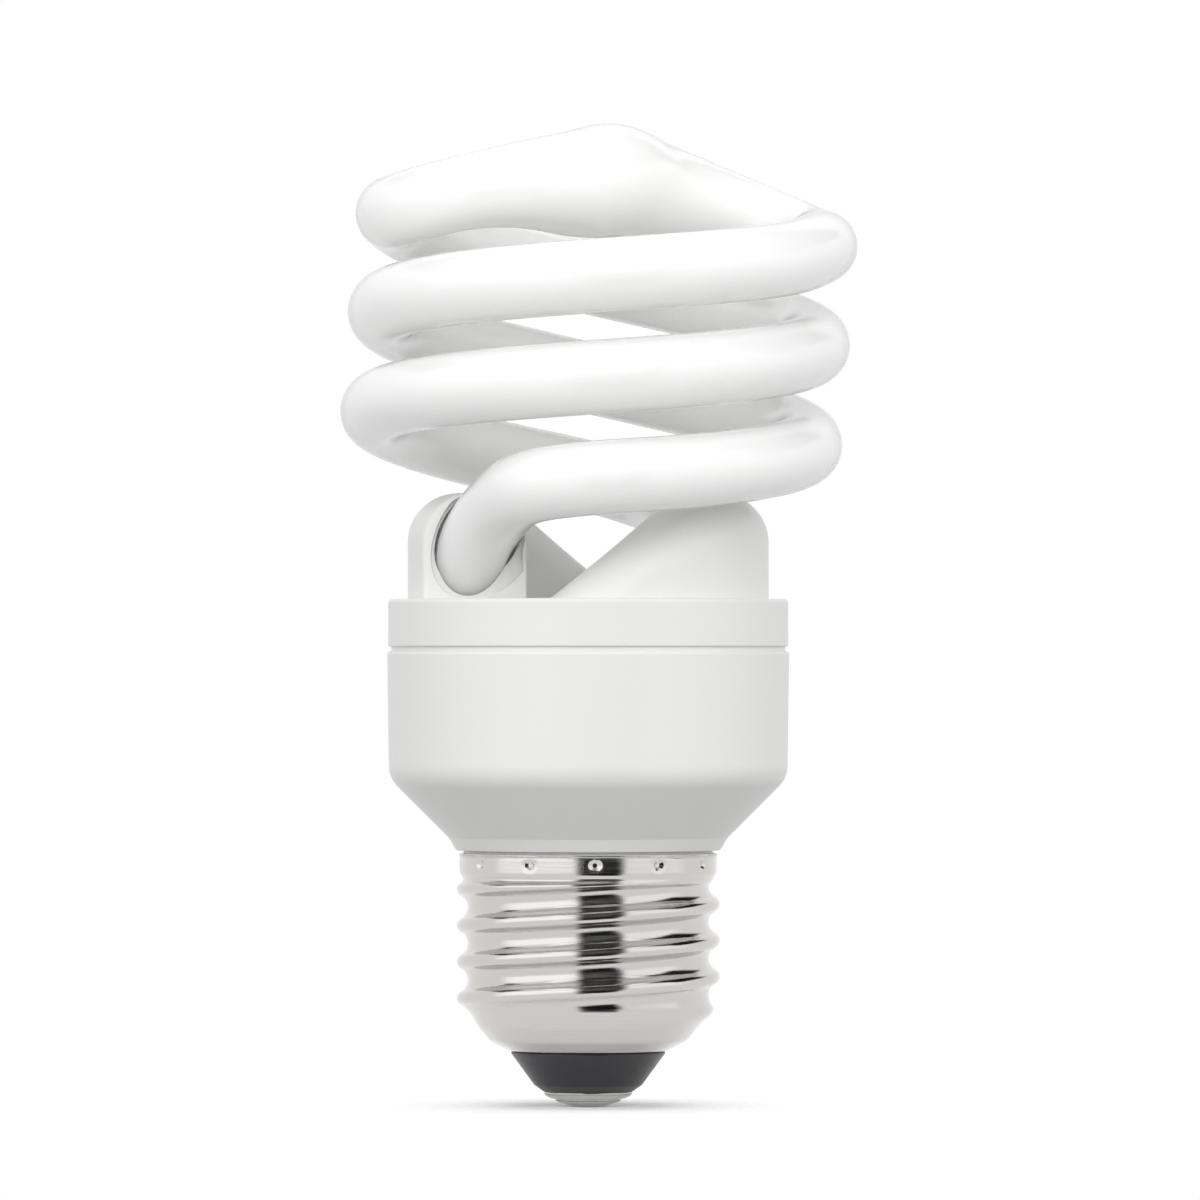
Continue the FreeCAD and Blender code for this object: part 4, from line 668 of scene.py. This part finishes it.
def hood_grid(tube, casing):
    """A hood's skin from its low end to its mouth, and the mouth's rim, whose bore ends in a plug."""
    loop = np.concatenate([
        np.linspace(part, part + 1, columns, endpoint=False)
        for part, columns in enumerate((12, 60, 12, 14))
    ])
    way = heading(tube.mouth_turn, tube.mouth_rise)
    centre = mouth_centre(tube, casing)
    bore = tube.tube_radius + casing.mouth_gap
    end = hood_ends(loop, centre, way, casing, bore)
    rows = np.linspace(0, 1, 110)[:, None]
    skin = hood_surface(rows * (end - casing.mouth_round), loop + 0 * rows, casing)
    start = np.broadcast_to(skin[0].mean(0), skin[:1].shape)
    rim = mouth_rim(hood_surface(end, loop, casing), skin[-1], centre, way, casing, bore)
    return np.concatenate([start, skin, rim])


def housing_profile(casing):
    """Half a section of the lower moulding: straight wall, round shoulder, cone, lip and inner wall."""
    top = casing.seam_height + casing.seam_gap / 2
    under = casing.seam_height - casing.seam_gap / 2
    slope = casing.shoulder_height - casing.housing_low
    wall = 1.4 * MM
    inner_slope = slope + wall * 1.41
    inner = casing.housing_low - wall
    lip, lip_foot = casing.lip_radius, casing.lip_height
    seat, seat_foot = lip - 1.5 * MM, lip_foot - 1.4 * MM
    spigot, spigot_foot = lip - 2.3 * MM, lip_foot - 6.6 * MM
    neck = lip - 3.45 * MM
    return rounded([
        (inner, top, 0),
        (casing.seam_radius, top, 0),
        (casing.seam_radius, under, 0),
        (casing.housing_top, under, casing.edge_round),
        (casing.housing_low, casing.shoulder_height, casing.shoulder_round),
        (lip, lip + slope, 0.3 * MM),
        (lip - 0.75 * MM, lip_foot, 0.15 * MM),
        (seat, lip_foot, 0),
        (seat, seat_foot, 0),
        (spigot, seat_foot, 0),
        (spigot, spigot_foot, 0.2 * MM),
        (neck, spigot_foot, 0.2 * MM),
        (neck, neck + inner_slope, 0.5 * MM),
        (inner, inner + inner_slope, 1.6 * MM),
        (inner, top, 0),
    ])


class BULB_OT_casing(bpy.types.Operator):
    """Build the upper moulding with its two hoods, and the lower moulding"""

    bl_idname = "bulb.casing"
    bl_label = "Casing"

    def execute(self, context):
        scene = context.scene
        casing = scene.bulb_casing
        plastic = moulded_plastic(casing)
        hood = hood_grid(scene.bulb_tube, casing)
        for name, points, sharp, nodes in (
            ("holder_plate", turned(plate_profile(casing)), 40, ["tube_holder"]),
            ("left_hood", hood, 50, []),
            ("right_hood", hood * [-1, -1, 1], 50, []),
            ("lower_casing", turned(housing_profile(casing)), 30, ["ballast_housing"]),
        ):
            add_piece(name, points, sharp, plastic, "white_plastic", *nodes)
        return {"FINISHED"}


def thread_height(offset, cap):
    """How far the thread stands above its root at a distance from a crest: an arc over a hollow arc.

    Both arcs turn by the angle 2 atan(d / (p / 2)) for a pitch p and a depth d, and they meet in a
    common tangent, so each has the radius of its own half width over the sine of that angle.
    """
    depth = cap.crest_radius - cap.root_radius
    half = cap.pitch / 2
    crest_half = cap.crest_share * half
    hollow_half = half - crest_half
    turn = math.sin(2 * math.atan(depth / half))
    over, under = crest_half / turn, hollow_half / turn
    offset = np.abs((offset + half) % cap.pitch - half)
    crest = depth - over + np.sqrt(over ** 2 - np.minimum(offset, crest_half) ** 2)
    hollow = under - np.sqrt(under ** 2 - np.minimum(half - offset, hollow_half) ** 2)
    return np.where(offset < crest_half, crest, hollow)


def punch_depth(angle, height, cap):
    """How far the punch marks stand out: each is a dent, a bell of its distance, in a faint ring."""
    step = 2 * np.pi / max(cap.punches, 1)
    front = angle + np.pi / 2 - cap.punch_turn
    beside = ((front + step / 2) % step - step / 2) * cap.collar_radius
    near = np.hypot(beside, height - cap.punch_height) / cap.punch_radius
    ring = 0.012 * MM * np.exp(-(near - 1.5) ** 2 * 8)
    dent = 0.42 * MM * np.exp(-near ** 2 * 1.8)
    return (ring - dent) * (cap.punches > 0)


def shell_grid(cap):
    """The rolled shell: a turned bowl and collar with a helical thread, punch marks, and an inner wall.

    A point at angle a and height z has the radius of the turned profile plus the thread's height
    at z - first crest - pitch a / full turn, which fades in over the bowl and out at the collar.
    The inner wall is the outer one, moved in square to the profile by the sheet's thickness.
    """
    # Radius, height and round of the profile's corners, in millimetres.
    root, collar = cap.root_radius / MM, cap.collar_radius / MM
    outline = rounded(np.array([
        (7.6, 5.5, 0), (7.95, 5.58, 0.1), (9.9, 6.6, 1.5), (11.1, 8.1, 1.2), (root, 9.9, 1.5),
        (root, 22.1, 0.6), (collar, 23.3, 0.5), (collar, 24.96, 0.04), (collar - 0.07, 25.02, 0.03),
        (collar + 0.05, 25.1, 0.05), (collar + 0.05, 25.3, 0.06), (collar - 0.25, 25.3, 0),
    ]) * MM, steps=9)
    run = np.concatenate([[0], np.cumsum(np.linalg.norm(np.diff(outline, axis=0), axis=1))])
    at = np.linspace(0, run[-1], 170)
    radius, height = (np.interp(at, run, outline[:, axis])[:, None] for axis in (0, 1))
    angle = np.linspace(0, 2 * np.pi, 360, endpoint=False)
    first = cap.first_crest + cap.pitch * angle / (2 * np.pi) + cap.askew * np.cos(angle)
    offset = height - first
    crest = first + cap.pitch * np.round(offset / cap.pitch)
    there = smooth(crest, 8.2 * MM, 10.3 * MM) * (1 - smooth(height, 22.0 * MM, 23.0 * MM))
    thread = thread_height(offset, cap) * there * smooth(height, 7.6 * MM, 9.2 * MM)
    outer = about_axis(radius + thread + punch_depth(angle, height, cap), angle, height)
    climb, spread = np.gradient(height, axis=0), np.gradient(radius, axis=0)
    sheet = cap.wall / np.hypot(climb, spread)
    inner = about_axis(radius + thread - sheet * climb, angle, height + sheet * spread)[2:-2:3]
    return np.concatenate([outer, inner[::-1], outer[:1]])


class BULB_OT_screw_cap(bpy.types.Operator):
    """Build the rolled shell, the pressed glass, the contact and its solder"""

    bl_idname = "bulb.screw_cap"
    bl_label = "Screw cap"

    def execute(self, context):
        cap = context.scene.bulb_cap
        nickel = rolled_nickel(cap)
        add_piece("rolled_shell", shell_grid(cap), 60, nickel, "nickel_plate", "screw_shell")
        # Radius, height and round of each profile's corners, in millimetres.
        glass = [
            (1.3, 1.5, 0), (4.5, 1.5, 0), (4.9, 1.8, 0.15), (5.4, 2.15, 0.15), (7.85, 5.5, 0.15),
            (7.5, 5.5, 0), (7.5, 6.1, 0), (9.6, 7.2, 0.2), (9.6, 8.2, 0.2), (1.3, 8.2, 0), (1.3, 1.5, 0),
        ]
        contact = [
            (0.8, 0.8, 0), (3.7, 0.8, 0.2), (4.3, 1.1, 0.25), (4.5, 1.5, 0.1), (1.2, 1.5, 0),
            (1.2, 4.6, 0), (0.8, 4.6, 0), (0.8, 0.8, 0),
        ]
        solder = [
            (0, 0, 0), (1.5, 0, 1.2), (3.1, 0.45, 0.5), (3.45, 0.83, 0.1), (0.8, 0.8, 0), (0.8, 2.2, 0),
            (0, 2.2, 0),
        ]
        for name, corners, columns, sharp, material, slot, node in (
            ("glass_insulator", glass, 240, 30, dark_pressed_glass(cap), "black_glass", "cap_insulator"),
            ("contact_plate", contact, 160, 30, nickel, "contact_metal", "centre_contact"),
            ("solder_dome", solder, 120, 45, flowed_solder(cap), "solder", "contact_solder"),
        ):
            points = turned(rounded(np.array(corners) * MM), columns)
            add_piece(name, points, sharp, material, slot, node)
        return {"FINISHED"}


def banded_finish(name, ground, low, bands, roughness, leads_from):
    """A lacquered body with rings of colour round it.

    The bands hold the start of each ring above the height low, its width, both in millimetres,
    and its colour.
    """
    material, tree = new_material(name)
    _, bump = fine_grain(tree, 0.3 * MM, 0.1)
    place = add_node(tree, "TexCoord")
    split = add_node(tree, "SeparateXYZ", {"Vector": place.outputs["Object"]})
    paint = linear(ground)
    for start, width, code in bands:
        ring = add_node(tree, "Math", {
            0: split.outputs["Z"], 1: low + (start + width / 2) * MM, 2: width / 2 * MM,
        }, operation="COMPARE")
        paint = add_node(tree, "Mix", {
            0: ring, MIX_A: paint, MIX_B: linear(code)}, data_type="RGBA").outputs[MIX_RESULT]
    body = add_node(tree, "BsdfPrincipled", {
        "Base Color": paint, "Roughness": roughness, "Coat Weight": 0.4, "Coat Roughness": 0.2,
        "Normal": bump})
    add_node(tree, "OutputMaterial", {"Surface": tinned_above(tree, body, leads_from)})
    return material


def enamelled_turns(name, spacing, axis):
    """Copper wire with a clear enamel, wound in close turns."""
    # The turns are 0.25 mm apart: fine ridges whose colour is painted a lighter warm copper on top,
    #     # as a painted sheen, and darker in the grooves between them, as painted shade.
    material, tree = new_material(name)
    place = add_node(tree, "TexCoord")
    turns = add_node(tree, "TexWave", {
        "Vector": place.outputs["Object"], "Scale": math.pi / (10 * spacing), "Distortion": 0.6,
        "Detail": 1.0}, bands_direction=axis, wave_profile="SIN")
    bump = add_node(tree, "Bump", {
        "Height": turns.outputs["Fac"], "Strength": 0.6, "Distance": spacing * 0.4})
    # Painted shade: dark copper in the grooves. Painted sheen: light copper on the ridges, from the wave
    # that drives the bump.
    tone = add_node(tree, "Mix", {
        0: turns.outputs["Fac"], MIX_A: linear("#6B2E14"),
        MIX_B: linear("#C26A3A")}, data_type="RGBA")
    wire = add_node(tree, "BsdfPrincipled", {
        "Base Color": tone.outputs[MIX_RESULT], "Metallic": 0.85, "Roughness": 0.3,
        "Coat Weight": 0.6, "Coat Roughness": 0.1, "Normal": bump})
    add_node(tree, "OutputMaterial", {"Surface": wire})
    return material


def paper_laminate():
    """Phenolic paper laminate (FR-1), pressed in sheets and punched."""
    # Warm brown, mottled by the resin in the paper, in specks a 500th of the board's width each.
    material, tree = new_material("phenolic_paper_laminate")
    _, bump = fine_grain(tree, 0.4 * MM, 0.08)
    flow = add_node(tree, "TexNoise", {"Scale": 500.0, "Detail": 4.0})
    tone = add_node(tree, "Mix", {
        0: flow, MIX_A: linear("#8F6A34"), MIX_B: linear("#C9A35F")}, data_type="RGBA")
    sheet = add_node(tree, "BsdfPrincipled", {
        "Base Color": tone.outputs[MIX_RESULT], "Roughness": 0.45, "Normal": bump})
    add_node(tree, "OutputMaterial", {"Surface": sheet})
    return material


class BULB_OT_electronics(bpy.types.Operator):
    """Give the parts inside the casing their finishes"""

    bl_idname = "bulb.electronics"
    bl_label = "Electronics"

    def execute(self, context):
        # Leads come out above the seat, a little below the board, and bare ends stand on some bodies.
        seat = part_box("circuit_board")[0].z - 0.2 * MM
        diode_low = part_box("rectifier_diodes")[0].z + 1.7 * MM
        resistor_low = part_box("base_resistors")[0].z + 1.7 * MM
        fusible_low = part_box("fusible_resistor")[0].z + 0.8 * MM
        for material, *nodes in (
            (paper_laminate(), "circuit_board"),
            (enamelled_turns("choke_enamelled_copper", 0.25 * MM, "X"), "choke_winding"),
            # Sintered manganese-zinc ferrite: a dull, nearly black stone with a 0.1 mm grain.
            (plain_finish("sintered_ferrite", linear("#333336"), 0.6, 0.1 * MM, 0.3),
             "choke_core", "transformer_core"),
            # Phenolic bobbin, moulded: black-brown and half matt.
            (plain_finish("moulded_phenolic", linear("#2A2320"), 0.45, 0.15 * MM, 0.12, leads_from=seat),
             "choke_bobbin"),
            # The ring core's windings are single turns of hook-up wire with a plain enamel.
            (plain_finish("enamelled_copper", linear("#A9502A"), 0.3, 0.2 * MM, 0.08, 0.8),
             "transformer_windings"),
            # Epoxy moulding compound: black, fine and matt from an eroded tool.
            (plain_finish("moulded_black_epoxy", linear("#1C1C1D"), 0.5, 0.08 * MM, 0.15, leads_from=seat),
             "upper_transistor", "lower_transistor"),
            # Epoxy powder, dipped and cured over the film: an orange-peel gloss, about 0.6 mm.
            (plain_finish("dipped_epoxy", linear("#8E2A18"), 0.28, 0.6 * MM, 0.15, leads_from=seat),
             "resonant_capacitor", "coupling_capacitor", "suppression_capacitor"),
            # Lacquer dipped over the ceramic disc: smooth blue with a slight sag.
            (plain_finish("dipped_blue_lacquer", linear("#2A5C96"), 0.25, 0.5 * MM, 0.1, leads_from=seat),
             "trigger_diac", "preheat_thermistor"),
            # Heat-shrunk PVC sleeve: deep blue-black, smooth and glossy.
            (plain_finish("shrunk_pvc_sleeve", linear("#15161D"), 0.3, 0.4 * MM, 0.06, leads_from=seat),
             "smoothing_capacitor"),
            # Epoxy and lacquer bodies with their marks printed round them.
            (banded_finish("diode_epoxy", "#1B1B1C", diode_low, [(3.6, 0.7, "#C8C8C6")], 0.4, seat),
             "rectifier_diodes"),
            (banded_finish("resistor_lacquer", "#C9B68A", resistor_low, [
                (1.2, 0.5, "#5A3217"), (2.4, 0.5, "#141414"), (3.6, 0.5, "#B02A1E"), (4.9, 0.5, "#B08A3A"),
            ], 0.35, seat), "base_resistors"),
            (banded_finish("fusible_lacquer", "#8FA58C", fusible_low, [
                (2.0, 0.7, "#B02A1E"), (4.0, 0.7, "#141414"), (6.0, 0.7, "#B08A3A"),
            ], 0.4, fusible_low + 9.0 * MM), "fusible_resistor"),
            # Copper wire, tinned in a bath: bright and smooth.
            (plain_finish("tinned_copper_wire", linear("#BDBDBB"), 0.28, 0.2 * MM, 0.05, 1.0),
             "winding_pins", "filament_leads"),
            # PVC insulation, drawn over the wire: smooth, soft gloss.
            (plain_finish("red_pvc_insulation", linear("#A8231C"), 0.35, 0.3 * MM, 0.08), "live_wire"),
            (plain_finish("black_pvc_insulation", linear("#1A1A1B"), 0.35, 0.3 * MM, 0.08), "neutral_wire"),
            # Filled silicone putty, pressed in and set: off-white, matt and lumpy.
            (plain_finish("set_putty", linear("#E6E3DA"), 0.8, 0.5 * MM, 0.5), "tube_cement"),
        ):
            for node in nodes:
                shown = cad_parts[node]
                shown.data.materials.clear()
                shown.data.materials.append(material)
        return {"FINISHED"}


def add_sheet(name, half, height, material):
    """A level square sheet of the stage, from half its side."""
    corners = [(-half, -half, height), (half, -half, height), (half, half, height), (-half, half, height)]
    mesh = bpy.data.meshes.new(name)
    mesh.from_pydata(corners, [], [(0, 1, 2, 3)])
    mesh.materials.append(material)
    sheet = bpy.data.objects.new(name, mesh)
    bpy.context.scene.collection.objects.link(sheet)
    return sheet


def background_rays(tree):
    """One for the rays that see the white background: to the camera, in a gloss and through glass."""
    path = add_node(tree, "LightPath")
    shown = path.outputs["Is Camera Ray"]
    for ray in ("Is Glossy Ray", "Is Transmission Ray"):
        shown = add_node(tree, "Math", {0: shown, 1: path.outputs[ray]}, operation="MAXIMUM")
    return shown


def paper_floor(stage):
    """White seamless paper: part of its white is its own, so that shade on it stays soft."""
    # It fades to the white behind it far from the lamp, so that no edge shows between the two.
    material, tree = new_material("white_paper_floor")
    shown = background_rays(tree)
    paper = add_node(tree, "BsdfDiffuse", {"Color": (*[stage.floor_tone] * 3, 1)})
    white = add_node(tree, "BsdfDiffuse", {"Color": (*[stage.floor_shade] * 3, 1)})
    glow = add_node(tree, "Emission", {
        "Color": stage.backdrop, "Strength": 1 - stage.floor_shade})
    lit = add_node(tree, "AddShader", {0: white, 1: glow})
    both = add_node(tree, "MixShader", {0: shown, 1: paper, 2: lit})
    place = add_node(tree, "TexCoord")
    away = add_node(tree, "VectorMath", {0: place.outputs["Object"]}, operation="LENGTH")
    fade = add_node(tree, "MapRange", {
        "Value": away.outputs["Value"], "From Min": 6 * MM, "From Max": 22 * MM,
    }, interpolation_type="SMOOTHSTEP")
    gone = add_node(tree, "Math", {0: fade, 1: shown}, operation="MULTIPLY")
    clear = add_node(tree, "BsdfTransparent")
    soft = add_node(tree, "MixShader", {0: gone, 1: both, 2: clear})
    add_node(tree, "OutputMaterial", {"Surface": soft})
    return material


def white_world(stage):
    """White all round where it is seen, and a plain level of light from all round elsewhere."""
    world = bpy.data.worlds.new("white_studio")
    world.use_nodes = True
    tree = world.node_tree
    tree.nodes.clear()
    wall, fill = (add_node(tree, "Background", {
        "Color": stage.backdrop, "Strength": strength}) for strength in (1.0, stage.fill))
    both = add_node(tree, "MixShader", {0: background_rays(tree), 1: fill, 2: wall})
    add_node(tree, "OutputWorld", {"Surface": both})
    return world


def thinning(tree, solid, start):
    """Let a sheet of 2 by 2 thin out to nothing at its rim: it is whole where max(x^2, y^2) < start."""
    clear = add_node(tree, "BsdfTransparent")
    place = add_node(tree, "TexCoord")
    axes = add_node(tree, "SeparateXYZ", {"Vector": place.outputs["Object"]})
    squares = [add_node(tree, "Math", {
        0: axes.outputs[axis], 1: axes.outputs[axis]}, operation="MULTIPLY") for axis in "XY"]
    outer = add_node(tree, "Math", {0: squares[0], 1: squares[1]}, operation="MAXIMUM")
    thin = add_node(tree, "MapRange", {
        "Value": outer, "From Min": start, "From Max": 1.0}, interpolation_type="SMOOTHSTEP")
    both = add_node(tree, "MixShader", {0: thin, 1: solid, 2: clear})
    add_node(tree, "OutputMaterial", {"Surface": both})


def black_gauze():
    """Matt black gauze, which the studio stands beside the camera so that bright metal has an edge."""
    material, tree = new_material("matt_black_gauze")
    cloth = add_node(tree, "BsdfDiffuse", {"Color": (0.01, 0.01, 0.012, 1)})
    thinning(tree, cloth, 0.36)
    return material


def softbox_cloth(strength):
    """White cloth over a lamp, brightest in its middle."""
    material, tree = new_material("softbox_cloth")
    glow = add_node(tree, "Emission", {"Color": (1, 1, 1, 1), "Strength": strength})
    thinning(tree, glow, 0.1)
    return material


def from_lamp(azimuth, elevation):
    """The directions away from the lamp and level across it, at an azimuth right of the camera."""
    turn, rise = math.radians(azimuth), math.radians(elevation)
    return Vector(heading(turn, rise)), Vector((math.cos(turn), math.sin(turn), 0))


def add_card(name, azimuth, elevation, distance, half_width, half_height, material):
    """A sheet square to the lamp, which the camera doesn't see and which casts no shade."""
    away, across = from_lamp(azimuth, elevation)
    card = add_sheet(name, 1.0, 0.0, material)
    turn = Matrix((across * half_width, across.cross(away) * half_height, away)).transposed()
    card.matrix_world = Matrix.Translation(away * distance) @ turn.to_4x4()
    card.visible_camera = card.visible_shadow = False
    return card


def add_lamp(name, azimuth, elevation, distance, width, height, power):
    """A soft box that points at the lamp."""
    away, _ = from_lamp(azimuth, elevation)
    data = bpy.data.lights.new(name, "AREA")
    data.shape = "RECTANGLE"
    data.size, data.size_y = width, height
    data.energy = power
    place_at(name, data, away * distance, -away)


def place_at(name, data, place, way):
    """An object of the stage that looks the given way."""
    thing = bpy.data.objects.new(name, data)
    thing.location = place
    thing.rotation_euler = way.to_track_quat("-Z", "Y").to_euler()
    bpy.context.scene.collection.objects.link(thing)
    return thing


class BULB_OT_studio(bpy.types.Operator):
    """Set the floor, the backdrop, the lamps and the camera"""

    bl_idname = "bulb.studio"
    bl_label = "Studio"

    def execute(self, context):
        scene = context.scene
        stage = scene.bulb_stage
        add_sheet("floor", 3.0, -0.02 * MM, paper_floor(stage))
        scene.world = white_world(stage)
        add_lamp("top_softbox", 0, 76, 1.15, 1.3, 1.1, stage.top_power)
        add_lamp("front_softbox", 8, 25, 1.35, 0.6, 1.0, stage.front_power)
        add_card("left_softbox", -48, 22, 1.35, 1.5, 0.8, softbox_cloth(stage.left_glow))
        add_card("right_softbox", 54, 22, 1.35, 1.5, 0.8, softbox_cloth(stage.right_glow))
        gauze = black_gauze()
        for name, azimuth, elevation, half_width, half_height in (
            ("camera_card", 11, 10, 0.37, 1.0),
            ("overhead_card", 11, 76, 0.3, 0.55),
            ("right_card", 114, 45, 0.42, 0.3),
            ("left_card", -122, 48, 0.3, 0.14),
        ):
            card = add_card(name, azimuth, elevation, 0.8, half_width, half_height, gauze)
            card.visible_diffuse = False
        data = bpy.data.cameras.new("camera")
        data.lens = data.sensor_width * stage.camera_distance / stage.view_width
        data.clip_start = 10 * MM
        place = Vector((0, -stage.camera_distance, stage.camera_height))
        aim = Vector((stage.aim_right, 0, stage.aim_height))
        scene.camera = place_at("camera", data, place, aim - place)
        scene.view_settings.view_transform = "Standard"
        return {"FINISHED"}


class BULB_PT_panel(bpy.types.Panel):
    """Lists the lamp's settings and the steps that build it"""

    bl_idname = "BULB_PT_panel"
    bl_label = "Spiral bulb"
    bl_space_type = "VIEW_3D"
    bl_region_type = "UI"
    bl_category = "Spiral bulb"

    def draw(self, context):
        for group, steps in (
            ("bulb_tube", ("bulb.discharge_tube",)),
            ("bulb_casing", ("bulb.casing", "bulb.electronics")),
            ("bulb_cap", ("bulb.screw_cap",)),
            ("bulb_stage", ("bulb.studio",)),
        ):
            box = self.layout.box()
            settings = getattr(context.scene, group)
            for name in settings.__annotations__:
                box.prop(settings, name)
            for step in steps:
                box.operator(step)


SETTINGS = {
    "bulb_tube": TubeSettings,
    "bulb_casing": CasingSettings,
    "bulb_cap": CapSettings,
    "bulb_stage": StageSettings,
}
CLASSES = (
    *SETTINGS.values(),
    BULB_OT_discharge_tube, BULB_OT_casing, BULB_OT_screw_cap, BULB_OT_electronics, BULB_OT_studio,
    BULB_PT_panel,
)


def register():
    for cls in CLASSES:
        bpy.utils.register_class(cls)
    for name, settings in SETTINGS.items():
        setattr(bpy.types.Scene, name, PointerProperty(type=settings))


def unregister():
    for name in SETTINGS:
        delattr(bpy.types.Scene, name)
    for cls in reversed(CLASSES):
        bpy.utils.unregister_class(cls)


def main():
    register()
    bpy.ops.bulb.studio()
    bpy.ops.bulb.discharge_tube()
    bpy.ops.bulb.casing()
    bpy.ops.bulb.screw_cap()
    bpy.ops.bulb.electronics()


if __name__ == "__main__":
    main()
